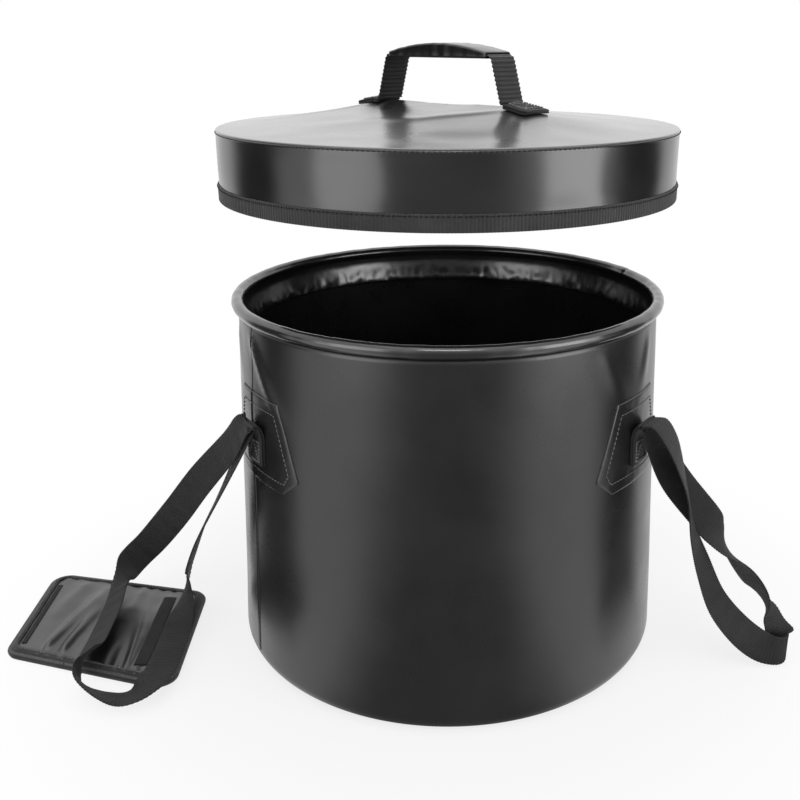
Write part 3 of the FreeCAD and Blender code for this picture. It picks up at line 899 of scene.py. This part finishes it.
def make_floor():
    profile = [(radius, SHEET) for radius in spaced(0.5, BASE_RADIUS, 40)]
    profile += [(radius, 0.0) for radius in reversed(spaced(0.5, BASE_RADIUS, 40))]

    def shape(angle, radius, height):
        x, y = radius * math.cos(angle), radius * math.sin(angle)
        fade = 1 - smooth_step(120, 148, radius)
        ripple = 0.5 + 0.5 * noise.noise(Vector((x / 45.0, y / 45.0, 2.0)))
        if height > 0:
            height += 0.9 * fade * ripple
        return Vector((x, y, height))

    piece = turned_piece("floor_panel", profile, SHELL, FLOOR_COLUMNS, shape, BASE_RADIUS)
    dress(piece, "shell", "base", "base_panel")
    low = SHEET + SEW_GAP
    soft = low + SHEET * 0.7
    top = low + SHEET
    section = [
        (RING_INNER, low), (RING_INNER + 0.2, soft), (RING_INNER + 1.0, top), (RING_INNER + 12, top),
        (RING_OUTER - 1.0, top), (RING_OUTER - 0.2, soft), (RING_OUTER, low), (RING_INNER + 13, low),
    ]
    ring = turned_piece("floor_seam_ring", section, SHELL, RING_COLUMNS, ring_place, RING_INNER)
    dress(ring, "shell", "base", "base_seam_ring")


def make_rim():
    """Rolled rim and the hem band that hangs from it inside the wall."""
    inset = SHEET + RUN_GAP

    def wrap(radius):
        turns = [math.radians(degrees) for degrees in spaced(-114.0, 234.0, 33)]
        return [
            (RIM_RADIUS + radius * math.cos(turn), RIM_HEIGHT + radius * math.sin(turn))
            for turn in turns
        ]

    heights = spaced(HEM_TOP, HEM_BOTTOM, 16)
    profile = wrap(BEAD_RADIUS)
    profile += [(wall_radius(height) - inset - SHEET, height) for height in heights]
    profile += [(wall_radius(height) - inset, height) for height in reversed(heights)]
    profile += reversed(wrap(SLEEVE_BORE))
    joint = math.radians(RIM_JOINT_ANGLE)

    def shape(angle, radius, height):
        hang = smooth_step(HEM_HANG, HEM_BOTTOM, height)
        x, y = math.cos(angle), math.sin(angle)
        pucker = 0.5 + 0.5 * noise.noise(Vector((9 * x, 9 * y, height / 40.0)))
        fold = 0.5 + 0.5 * math.sin(23 * angle + 2.0 * math.sin(5 * angle))
        crinkle = 0.5 + 0.5 * noise.noise(Vector((34 * x, 34 * y, height / 9.0)))
        radius -= hang * (2.6 + 1.1 * pucker + 0.5 * fold + 1.7 * crinkle)
        away = math.remainder(angle - joint, 2 * math.pi) * RIM_RADIUS
        if height > BEAD_BOTTOM:
            spread = Vector((radius - RIM_RADIUS, height - RIM_HEIGHT))
            grow = 0.28 * noise.noise(Vector((14 * x, 14 * y, 3.0)))
            grow -= 0.7 * swell(away, 0.0, 1.3)
            grow += 0.35 * swell(away, 8.0, 6.0)
            if spread.length > SLEEVE_BORE + 0.1:
                spread = spread.normalized() * (spread.length + min(grow, 0.3))
            radius, height = RIM_RADIUS + spread.x, RIM_HEIGHT + spread.y
        return Vector((radius * x, radius * y, height))

    piece = turned_piece("rolled_rim", profile, RIM_SHELL, RIM_COLUMNS, shape, RIM_RADIUS)
    dress(piece, "shell", "rim", "rim_sleeve")


# Lid

def handle_place(along, across, height):
    """Place in the lid handle's own directions: along it, across it, and up."""
    c, s = math.cos(LID_HANDLE_TURN), math.sin(LID_HANDLE_TURN)
    return Vector((along * c - across * s, along * s + across * c, height))


def handle_share(x, y):
    c, s = math.cos(LID_HANDLE_TURN), math.sin(LID_HANDLE_TURN)
    return x * c + y * s, y * c - x * s


# Creases of the lid top: start and end in the handle's directions, width and height
LID_CREASES = [
    (66, -10, -18, -96, 9.0, 1.1),
    (-66, -8, 40, -62, 9.0, -0.8),
    (-62, 9, -96, 92, 7.0, 1.0),
    (66, 10, 92, 96, 7.0, 0.9),
    (-70, -12, -120, -76, 6.0, 0.9),
    (80, -12, 120, -80, 6.0, -0.8),
    (-20, 6, -10, 110, 9.0, -0.9),
    (30, 6, 36, 112, 9.0, 0.8),
]


def crease(along, across, lines):
    """Height that soft folds add at a place, fading towards their ends."""
    total = 0.0
    for a0, b0, a1, b1, width, height in lines:
        run = (a1 - a0, b1 - b0)
        square = run[0] ** 2 + run[1] ** 2
        share = ((along - a0) * run[0] + (across - b0) * run[1]) / square
        if -0.15 < share < 1.15:
            away = abs((along - a0) * run[1] - (across - b0) * run[0]) / math.sqrt(square)
            fade = smooth_step(-0.15, 0.12, share) * (1 - smooth_step(0.5, 1.15, share))
            spread = width * (0.6 + share)
            total += height * fade * math.exp(-(away / spread) ** 2)
    return total


def lid_height(x, y):
    """Top of the lid: a tent with its ridge under the handle."""
    along, across = handle_share(x, y)
    ridge = math.hypot(max(abs(along) - LID_RIDGE_HALF, 0.0), across)
    edge = max(SKIRT_OUTER - math.hypot(x, y), 0.0)
    share = ridge / (ridge + edge + 1e-6)
    height = LID_EDGE + (LID_CROWN - LID_EDGE) * (1 - share * (1.55 - 0.55 * share))
    near_edge = smooth_step(0, 30, edge)
    height += near_edge * crease(along, across, LID_CREASES)
    height += near_edge * 0.5 * noise.noise(Vector((x / 38.0, y / 38.0, 5.0)))
    height -= 1.0 * swell(along, 0.0, 34.0) * swell(across, 0.0, 40.0)
    return height


def make_lid():
    radii = spaced(1.0, SKIRT_OUTER - 2.0, 96) + [SKIRT_OUTER - 1.0, SKIRT_OUTER - 0.4]
    profile = [(radius, 1.0) for radius in radii] + [(SKIRT_OUTER, 0.5)]
    profile += [(SKIRT_OUTER, 0.0)] + [(radius, 0.0) for radius in reversed(radii)]

    def shape(angle, radius, share):
        x, y = radius * math.cos(angle), radius * math.sin(angle)
        top = lid_height(x, y)
        if radius > SKIRT_OUTER - 0.5:
            top = LID_EDGE - 0.15
        return Vector((x, y, max(top - SHEET * (1 - share), LID_UNDERSIDE)))

    top = turned_piece("lid_tent", profile, LID_TOP_SHELL_WITH_HIGHLIGHT, LID_COLUMNS, shape, SKIRT_OUTER)
    dress(top, "shell", "lid", "lid_top")

    heights = spaced(LID_BOTTOM, LID_UNDERSIDE - SEW_GAP, 26)
    profile = [(SKIRT_OUTER, height) for height in heights]
    profile += [(SKIRT_INNER, height) for height in reversed(heights)]

    def side_shape(angle, radius, height):
        share = (height - HEM_TAPE_TOP) / (LID_UNDERSIDE - HEM_TAPE_TOP)
        fade = smooth_step(0.0, 0.35, share) * (1 - smooth_step(0.7, 1.0, share))
        x, y = math.cos(angle), math.sin(angle)
        wave = 0.4 * noise.noise(Vector((3.2 * x, 3.2 * y, height / 60.0)))
        wave += 0.18 * math.sin(11 * angle + 1.3)
        return ring_place(angle, radius + fade * wave, height)

    skirt = turned_piece("lid_side", profile, LID_SHELL, LID_COLUMNS, side_shape, SKIRT_OUTER)
    dress(skirt, "shell", "lid", "lid_skirt")


HEM_RIBS = 440
HEM_RIB_RISE = 0.3
HEM_SEAM_STEPS = 240


def make_lid_hem():
    top = HEM_TAPE_TOP
    low = LID_BOTTOM - SEW_GAP - 0.7
    inner, outer = LID_HEM_INNER, LID_HEM_OUTER
    profile = [
        (inner, top - 0.3), (inner, top - 4), (inner, top - 8), (inner, low + 0.8),
        (inner + 0.3, low + 0.2), (inner + 1.27, low), (outer - 0.3, low + 0.2), (outer, low + 0.8),
        (outer, top - 8), (outer, top - 4), (outer, top - 0.3), (outer - 0.2, top),
        (outer - 0.7, top), (outer - 0.7, top - 6), (outer - 0.7, low + 0.9),
        (inner + 0.7, low + 0.9), (inner + 0.7, top - 6), (inner + 0.7, top), (inner + 0.2, top),
    ]

    def shape(angle, radius, height):
        wobble = 0.25 * noise.noise(Vector((16 * math.cos(angle), 16 * math.sin(angle), 1.0)))
        if height > top - 5:
            height += wobble
        if radius > outer - 0.5:
            radius += HEM_RIB_RISE * math.cos(HEM_RIBS * angle)
        return ring_place(angle, radius, height)

    piece = turned_piece("lid_hem", profile, HEM_WEB, 4 * HEM_RIBS, shape, outer)
    dress(piece, "hem_tape", "lid", "lid_hem_tape")
    runs = []
    for height, reach in ((LID_EDGE - 2.0, SKIRT_OUTER), (top - 1.6, outer + HEM_RIB_RISE)):
        turns = spaced(0.0, 2 * math.pi, HEM_SEAM_STEPS + 1)
        ways = [ring_place(turn, 1, 0) for turn in turns]
        runs.append([(away * reach + UP * height, away) for away in ways])
    stitches = thread_piece("lid_hem_stitches", runs, HEM_STITCH, CLOSURE)
    dress(stitches, "hem_tape", "lid")


LID_RIB = 3.1
LID_RIB_DEPTH = 0.40


def rounded_path(corners, radius, step):
    """Path of (along, height) through corners with rounded bends."""
    places = [Vector(corners[0])]
    for before, corner, after in zip(corners, corners[1:], corners[2:]):
        corner = Vector(corner)
        back = (Vector(before) - corner).normalized()
        ahead = (Vector(after) - corner).normalized()
        start, end = corner + back * radius, corner + ahead * radius
        for share in spaced(0.0, 1.0, 9):
            places.append(start.lerp(corner, share).lerp(corner.lerp(end, share), share))
    places.append(Vector(corners[-1]))
    return finer(places, step) + places[-1:]


def make_lid_handle():
    foot_height = LID_CROWN + SEW_GAP + WEBBING / 2 + LID_STRAP_LIFT
    corners = [
        (-LID_FOOT_HALF, foot_height), (-LID_TOP_HALF, LID_BRIDGE),
        (LID_TOP_HALF, LID_BRIDGE), (LID_FOOT_HALF, foot_height),
    ]
    path = rounded_path(corners, 4.0, 0.5)
    across = handle_place(0, 1, 0)
    stations = [(handle_place(place.x, 0, place.y), across) for place in path]
    sections, length = ribbon(stations, LID_RIB, LID_RIB_DEPTH)
    strap = swept_piece("lid_handle_webbing", sections, LID_WEB)
    dress(strap, "webbing", "lid", "lid_handle_strap")


def make_lid_tabs():
    slope = math.atan2(LID_CROWN - LID_EDGE, SKIRT_OUTER - LID_RIDGE_HALF)
    for end, name in ((1, "front"), (-1, "rear")):
        stations = []
        runs = []
        down = end * math.cos(slope)

        def tab_place(reach, side, lift):
            spot = handle_place(end * LID_RIDGE_HALF + down * reach, side, 0)
            return Vector((spot.x, spot.y, lid_height(spot.x, spot.y) + LID_TAB_LIFT + lift))

        edges = [0.0, 0.4, 1.2]
        reaches = edges + spaced(2.0, LID_TAB_LENGTH - 2.0, 22)
        reaches += [LID_TAB_LENGTH - reach for reach in reversed(edges)]
        for reach in reaches:
            edge = min(reach, LID_TAB_LENGTH - reach)
            thin = 0.72 + 0.28 * smooth_step(0.0, 1.2, edge)
            rib = 0.04 * math.cos(2 * math.pi * reach / LID_RIB)
            middle = SEW_GAP + TAB_THICKNESS / 2
            stations.append([
                tab_place(reach, side, middle + through * (thin + (rib if through > 0 else 0)))
                for side, through in TAB_SECTION
            ])
        tab = swept_piece("lid_" + name + "_tab", stations, TAB_WEB)
        dress(tab, "webbing", "lid", "lid_handle_" + name + "_tab")
        half = BOX_STITCH_HALF
        box = [(3, -half), (19, -half), (19, half), (3, half), (3, -half)]
        normal = handle_place(end * math.sin(slope), 0, math.cos(slope))
        for corners in (box, [box[0], box[2]], [box[3], box[1]]):
            line = fine_run(corners, 2.5)
            runs.append([(tab_place(r, s, SEW_GAP + TAB_THICKNESS + 0.1), normal) for r, s in line])
        stitches = thread_piece("lid_" + name + "_tab_stitches", runs, LID_TAB_STITCH)
        dress(stitches, "webbing", "lid")


def make_grip():
    """Sleeve round the top of the lid handle, with room for the webbing."""
    low = LID_BRIDGE - WEBBING / 2 - SEW_GAP - GRIP_WALL
    high = LID_BRIDGE + WEBBING / 2 + SEW_GAP + GRIP_WALL
    stations = []
    bores = []
    for along in spaced(-GRIP_HALF, GRIP_HALF, 70):
        share = along / GRIP_HALF
        crown = high + GRIP_CROWN * (1 - share * share)
        fold = 0.22 * noise.noise(Vector((along / 6.0, 0.0, 9.0)))
        outline = rounded_box(GRIP_HALF_WIDTH + fold, low, crown + fold, 1.6)
        stations.append([handle_place(along, side, height) for side, height in outline])
        room = rounded_box(WEBBING_WIDTH / 2 + SEW_GAP, LID_BRIDGE - 0.92, LID_BRIDGE + 0.92, 0.3)
        bores.append([handle_place(along, side, height) for side, height in room])
    rows = stations + bores[::-1]
    middles = [sum(row, Vector()) / len(row) for row in rows]
    grip = grid_piece(
        "lid_grip", rows, LID_SHELL, run_lengths(rows[0], close=True), run_lengths(middles, close=True),
        wrap=True, closed=True,
    )
    dress(grip, "grip", "lid", "lid_handle_grip")


def rounded_box(half_width, low, high, radius):
    """Outline of a box section with rounded corners, always with the same count of points."""
    radius = min(radius, (high - low) / 2, half_width)
    outline = []
    right, upper, lower = half_width - radius, high - radius, low + radius
    for cx, cy, start in ((right, upper, 0), (-right, upper, 90), (-right, lower, 180), (right, lower, 270)):
        for step in range(6):
            angle = math.radians(start + 18 * step)
            outline.append((cx + radius * math.cos(angle), cy + radius * math.sin(angle)))
    return outline


# Grip pad

def from_left_hinge(offset):
    root = hinge(-1)
    return Vector((root.x + offset[0], root.y + offset[1]))


def pad_outline(step):
    """Closed outline of the pad with rounded corners, as (place, inward direction)."""
    corners = [from_left_hinge(corner) for corner in PAD_CORNERS]
    places = []
    for index, corner in enumerate(corners):
        back = (corners[index - 1] - corner).normalized()
        ahead = (corners[(index + 1) % 4] - corner).normalized()
        half = back.angle(ahead) / 2
        reach = PAD_CORNER_ROUND / math.tan(half)
        middle = corner + (back + ahead).normalized() * (PAD_CORNER_ROUND / math.sin(half))
        start = corner + back * reach - middle
        end = corner + ahead * reach - middle
        for share in spaced(0.0, 1.0, 10):
            places.append(middle + start.lerp(end, share).normalized() * PAD_CORNER_ROUND)
    fine = finer(places + places[:1], step)
    outline = []
    for index, place in enumerate(fine):
        heading = fine[(index + 1) % len(fine)] - fine[index - 1]
        outline.append((place, Vector((heading.y, -heading.x)).normalized()))
    return outline


# Middle of the pad, and its reach from left to right and from front to back
PAD_CENTRE = sum((from_left_hinge(corner) for corner in PAD_CORNERS), Vector((0, 0))) / 4
PAD_U = Vector((136, -33))
PAD_V = Vector((-6, 133))


def pad_share(x, y):
    """Place on the pad as shares from its left to its right and from its front to its back."""
    away = Vector((x, y)) - PAD_CENTRE
    spread = PAD_U.x * PAD_V.y - PAD_U.y * PAD_V.x
    s = (away.x * PAD_V.y - away.y * PAD_V.x) / spread + 0.5
    t = (PAD_U.x * away.y - PAD_U.y * away.x) / spread + 0.5
    return s, t


# Long wrinkles of the lining: start and end as shares of the pad, width and height in mm
PAD_WRINKLES = [
    (0.18, 0.06, 0.42, 0.96, 0.034, 4.4),
    (0.25, 0.96, 0.12, 0.42, 0.050, 1.8),
    (0.30, 0.07, 0.41, 0.74, 0.030, 3.8),
    (0.74, 0.02, 0.70, 0.80, 0.028, 1.5),
    (0.64, 0.98, 0.60, 0.55, 0.030, 1.0),
    (0.83, 0.90, 0.76, 0.40, 0.035, 0.9),
    (0.57, 0.05, 0.60, 0.45, 0.030, 0.8),
]


def pad_height(x, y):
    """Top of the lining: foam crown, gathers at front and back, and long wrinkles."""
    s, t = pad_share(x, y)
    inside = smooth_step(0.0, 0.16, min(s, 1 - s, t, 1 - t))
    height = PAD_LINING_LOW + 0.9 * inside
    wander = 0.8 * math.sin(7.0 * s + 0.5)
    front = math.exp(-max(t - 0.05, 0.0) / 0.10)
    back = math.exp(-max(0.95 - t, 0.0) / 0.09)
    gathers = 0.5 + 0.5 * math.sin(2 * math.pi * 13 * s + 3 * wander)
    tucks = 0.5 + 0.5 * math.sin(2 * math.pi * 9 * s + 4 * wander + 1.0)
    height += 1.1 * front * gathers * smooth_step(0.05, 0.2, s) + 0.7 * back * tucks
    height += inside * crease(s, t, PAD_WRINKLES)
    height += 0.25 * inside * noise.noise(Vector((x / 14.0, y / 14.0, 4.0)))
    return max(height, PAD_LINING_LOW)


def pad_sheet(name, level, thickness, replaced):
    """Sheet over the whole pad in rings from its edge to its middle."""
    outline = pad_outline(2.0)
    scales = spaced(1.0, 0.02, PAD_SHEET_RINGS)
    rows = []
    for layer in (0, 1):
        for scale in scales if layer == 0 else reversed(scales):
            ring = []
            for place, inward in outline:
                edge = place + inward * PAD_SHEET_INSET
                spot = PAD_CENTRE + (edge - PAD_CENTRE) * scale
                ring.append(Vector((spot.x, spot.y, level(spot.x, spot.y) - thickness * layer)))
            rows.append(ring)
    across = run_lengths(rows[0], close=True)
    along = [PAD_HALF_REACH * index / len(scales) for index in range(len(rows) + 1)]
    piece = grid_piece(name, rows, PAD_SHELL, across, along, wrap=True, closed=True)
    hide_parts(*replaced)
    blend_pad(piece)


def blend_pad(piece):
    """Bake a piece's placing into its mesh."""
    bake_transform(piece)


# Section of the binding: distance in from the pad's edge, and height
BINDING_SECTION = [
    (9.0, 7.95), (9.0, 8.45), (6.8, 8.5), (4.0, 7.7), (1.8, 6.4), (0.4, 5.0), (0.0, 3.8),
    (0.3, 2.4), (1.4, 1.0), (3.4, 0.2), (9.0, 0.0), (9.0, 0.55), (4.0, 0.8), (2.2, 1.5),
    (1.1, 2.8), (0.8, 3.8), (1.1, 4.8), (2.3, 6.0), (4.4, 7.2), (6.8, 7.85),
]


def make_pad():
    """Lining on top of the pad and backing under it."""
    pad_sheet(
        "pad_lining", pad_height, PAD_LINING_THICKNESS,
        ["pad_base_lining", "pad_flap_lining"],
    )
    pad_sheet(
        "pad_backing", lambda x, y: PAD_BACKING_TOP, PAD_BACKING_THICKNESS,
        ["pad_base_backing", "pad_flap_backing"],
    )


def make_binding():
    """Tape folded round the edge of the pad, and its seam."""
    outline = pad_outline(1.5)
    rows = []
    for place, inward in outline:
        pull = 0.35 * noise.noise(Vector((place.x / 12.0, place.y / 12.0, 7.0)))
        row = []
        for inset, height in BINDING_SECTION:
            lift = pull * smooth_step(7.0, 8.4, height)
            spot = place + inward * (inset + (0.6 * pull if inset > 8 else 0.0))
            row.append(Vector((spot.x, spot.y, height + lift)))
        rows.append(row)
    across = run_lengths(rows[0], close=True)
    along = run_lengths([place.to_3d() for place, inward in outline], close=True)
    binding = grid_piece("pad_binding", rows, TAPE, across, along, wrap=True, closed=True)
    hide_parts("pad_base_binding", "pad_flap_binding")
    blend_pad(binding)
    run = []
    for place, inward in outline + outline[:1]:
        spot = place + inward * BINDING_SEAM_INSET
        run.append((Vector((spot.x, spot.y, BINDING_SEAM_HEIGHT)), UP))
    stitches = thread_piece("pad_binding_stitches", [run], BINDING_STITCH)
    blend_pad(stitches)


def make_closure():
    """Hook strip on the flap and loop strip on the base of the pad."""
    strips = ((HOOK_TAPE, HOOK_WIDTH, "hook", "pad_flap"), (LOOP_TAPE, LOOP_WIDTH, "loop", "left_handle"))
    for (start, end), width, name, body in strips:
        first, last = from_left_hinge(start), from_left_hinge(end)
        run = last - first
        square = Vector((-run.y, run.x)).normalized()
        outer = []
        inner = []
        shares = spaced(0.0, 1.0, 60)
        sides = [-1.0, -0.94, -0.5, 0.0, 0.5, 0.94, 1.0]
        for share in shares:
            spots = [first + run * share + square * (side * width / 2) for side in sides]
            tops = [0.35 if abs(side) == 1 else 0.65 for side in sides]
            outer.append([Vector((p.x, p.y, pad_height(p.x, p.y) + top)) for p, top in zip(spots, tops)])
            inner.append([Vector((p.x, p.y, pad_height(p.x, p.y) + 0.08)) for p in spots])
        along = [share * run.length for share in shares]
        across = [side * width / 2 for side in sides]
        tape = slab_piece("pad_" + name + "_strip", outer, inner, CLOSURE, across, along)
        dress(tape, "pad_tape", body, "pad_" + name + "_tape")


# Solids that keep their own shape
KEPT_SOLIDS = {"rim_hoop": HOOP, "hoop_joint_pin": HOOP, "pad_base_foam": FOAM, "pad_flap_foam": FOAM}
for name, look in KEPT_SOLIDS.items():
    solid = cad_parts[name]
    solid.data.materials.clear()
    solid.data.materials.append(look)

make_wall()
make_seam()
for anchor, anchor_name in ((-1, "left"), (1, "right")):
    make_patch(anchor, anchor_name)
    make_patch_stitches(anchor, anchor_name)
    make_tab(anchor, anchor_name)
make_floor()
make_rim()
make_lid()
make_lid_hem()
make_lid_handle()
make_lid_tabs()
make_grip()
make_pad()
make_binding()
make_closure()
make_strap(-1, LEFT_ROUTE, "left")
make_strap(1, RIGHT_ROUTE, "right")


# Stage, light and camera

WORLD_LEVEL = 0.5
# Painted darker front in reflections: directions whose Y runs from -0.98 to -0.72 fade down to the front
# level.
PAINTED_DARK_FRONT = (-0.98, -0.72)
STAGE_REACH = 6.0
STAGE_LEVEL = -0.0004
CAMERA_PLACE = (0.0, -0.7767, 0.4809)
CAMERA_TILT = 20.09
LENS = 44.85
LENS_SHIFT = -0.0596

# Lamps in metres and watts: name, place, aim, size and power
LAMPS = [
    ("top_light", (0.0, 0.2, 1.9), (0, 0, 0.2), (1.6, 1.6), 9.0),
    ("right_light", (1.40, -0.85, 0.58), (0, 0, 0.35), (0.95, 1.1), 11.0),
    ("left_light", (-1.15, -1.12, 0.58), (0, 0, 0.35), (0.9, 1.1), 6.0),
    ("front_light", (0.0, -1.25, 1.75), (0, 0, 0.28), (0.7, 0.25), 5.0),
]


def math_node(owner, operation, first, second):
    """Result of two values, each a socket or a number."""
    made = owner.node_tree.nodes.new("ShaderNodeMath")
    made.operation = operation
    for entry, value in zip(made.inputs, (first, second)):
        if isinstance(value, (int, float)):
            entry.default_value = value
        else:
            owner.node_tree.links.new(value, entry)
    return made.outputs["Value"]


def faded(owner, value, low, high, at_low, at_high, course="SMOOTHSTEP"):
    """Value carried from one range to another and held at its ends."""
    made = node(owner, "ShaderNodeMapRange", interpolation_type=course,
                From_Min=low, From_Max=high, To_Min=at_low, To_Max=at_high)
    owner.node_tree.links.new(value, made.inputs["Value"])
    return made.outputs["Result"]


def heading_parts(owner, direction):
    """X, Y and Z of a direction that is first made one long."""
    even = node(owner, "ShaderNodeVectorMath", operation="NORMALIZE")
    parts = node(owner, "ShaderNodeSeparateXYZ")
    owner.node_tree.links.new(direction, even.inputs[0])
    join(owner, even, "Vector", parts, "Vector")
    return parts.outputs


def studio(owner, direction, ahead, start, end, outset=0.0, setback=0.0, lit=0.0, front_level=0.35):
    """1 in most directions, 0 at both sides and less towards the front: painted dark zones in reflections,
    where nothing stands.
    """
    links = owner.node_tree.links
    raw = node(owner, "ShaderNodeSeparateXYZ")
    moved = node(owner, "ShaderNodeCombineXYZ")
    links.new(direction, raw.inputs["Vector"])
    away = math_node(owner, "ABSOLUTE", raw.outputs["X"], 0)
    links.new(math_node(owner, "SUBTRACT", away, outset), moved.inputs["X"])
    links.new(math_node(owner, "ADD", raw.outputs["Y"], setback), moved.inputs["Y"])
    links.new(raw.outputs["Z"], moved.inputs["Z"])
    # Painted dark sides in reflections, measured from a point set out from the axis and back from the
    # middle.
    painted_dark_zone = heading_parts(owner, moved.outputs["Vector"])
    side = math_node(owner, "MULTIPLY", painted_dark_zone["X"], math.sqrt(1 - ahead * ahead))
    back = math_node(owner, "MULTIPLY", painted_dark_zone["Y"], ahead)
    open_share = faded(owner, math_node(owner, "ADD", side, back), start, end, 1.0, 0.0)
    open_share = math_node(owner, "MAXIMUM", open_share, lit)
    facing = heading_parts(owner, direction)
    front = faded(owner, facing["Y"], *PAINTED_DARK_FRONT, front_level, 1.0)
    return math_node(owner, "MULTIPLY", open_share, front)


def by_ray(owner, plain, mirrored):
    """1 for the camera, the mirrored value in reflections and through glass, the plain one elsewhere."""
    path = owner.node_tree.nodes.new("ShaderNodeLightPath")
    seen = math_node(owner, "MAXIMUM", path.outputs["Is Glossy Ray"], path.outputs["Is Transmission Ray"])
    rest = math_node(owner, "SUBTRACT", 1.0, seen)
    value = math_node(owner, "MULTIPLY", seen, mirrored)
    value = math_node(owner, "ADD", value, math_node(owner, "MULTIPLY", rest, plain))
    return math_node(owner, "MAXIMUM", value, path.outputs["Is Camera Ray"])


def make_stage():
    """Pale floor that fades to plain white away from the bucket; in reflections only, its sides and front
    show as painted dark zones.
    """
    reach = STAGE_REACH
    mesh = bpy.data.meshes.new("stage_floor")
    corners = [(-reach, -reach, 0), (reach, -reach, 0), (reach, reach, 0), (-reach, reach, 0)]
    mesh.from_pydata(corners, [], [(0, 1, 2, 3)])
    floor = bpy.data.objects.new("stage_floor", mesh)
    bpy.context.scene.collection.objects.link(floor)
    floor.location.z = STAGE_LEVEL
    material, surface = shader("stage_pale", (0.9, 0.9, 0.9), 0.9)
    surface.inputs["Specular IOR Level"].default_value = 0.1
    links = material.node_tree.links
    glow = node(material, "ShaderNodeEmission")
    # Near-black emission seen only in reflections at the floor's sides and front: a painted dark reflection.
    painted_dark_zone = node(material, "ShaderNodeEmission", Color=(0.02, 0.02, 0.02, 1.0))
    pale = node(material, "ShaderNodeMixShader")
    whole = node(material, "ShaderNodeMixShader")
    place = node(material, "ShaderNodeTexCoord")
    length = node(material, "ShaderNodeVectorMath", operation="LENGTH")
    links.new(place.outputs["Object"], length.inputs[0])
    away = length.outputs["Value"]
    links.new(faded(material, away, 0.22, 0.44, 0.78, 1.0), pale.inputs["Fac"])
    links.new(surface.outputs["BSDF"], pale.inputs[1])
    links.new(glow.outputs["Emission"], pale.inputs[2])
    near = faded(material, away, 0.21, 0.29, 1.0, 0.0, "LINEAR")
    mirrored = studio(
        material, place.outputs["Object"], ahead=0.27, start=0.915, end=0.985,
        outset=0.10, setback=0.12, lit=near, front_level=0.18,
    )
    links.new(by_ray(material, 1.0, mirrored), whole.inputs["Fac"])
    links.new(painted_dark_zone.outputs["Emission"], whole.inputs[1])
    links.new(pale.outputs["Shader"], whole.inputs[2])
    links.new(whole.outputs["Shader"], material.node_tree.nodes["Material Output"].inputs["Surface"])
    mesh.materials.append(material)


def make_world():
    """White backdrop for the camera and in reflections, with painted dark zones at both sides and a darker
    front that show only in reflections.
    """
    world = bpy.data.worlds.new("studio")
    bpy.context.scene.world = world
    world.use_nodes = True
    place = world.node_tree.nodes.new("ShaderNodeTexCoord")
    mirrored = studio(world, place.outputs["Generated"], ahead=0.10, start=0.90, end=0.982)
    back = world.node_tree.nodes["Background"]
    world.node_tree.links.new(by_ray(world, WORLD_LEVEL, mirrored), back.inputs["Strength"])
    back.inputs["Color"].default_value = (1, 1, 1, 1)


def area_light(name, place, aim, size, power):
    data = bpy.data.lights.new(name, "AREA")
    data.shape = "RECTANGLE"
    data.size, data.size_y = size
    data.energy = power
    lamp = bpy.data.objects.new(name, data)
    lamp.location = place
    lamp.rotation_euler = (Vector(aim) - Vector(place)).to_track_quat("-Z", "Y").to_euler()
    lamp.visible_camera = False
    bpy.context.scene.collection.objects.link(lamp)


def make_camera():
    data = bpy.data.cameras.new("photo_camera")
    data.sensor_width = 36.0
    data.lens = LENS
    data.shift_x = LENS_SHIFT
    camera = bpy.data.objects.new("photo_camera", data)
    camera.location = CAMERA_PLACE
    camera.rotation_euler = (math.radians(90.0 - CAMERA_TILT), 0.0, 0.0)
    bpy.context.scene.collection.objects.link(camera)
    bpy.context.scene.camera = camera


make_stage()
make_world()
for lamp in LAMPS:
    area_light(*lamp)
make_camera()
bpy.context.scene.view_settings.view_transform = "Standard"
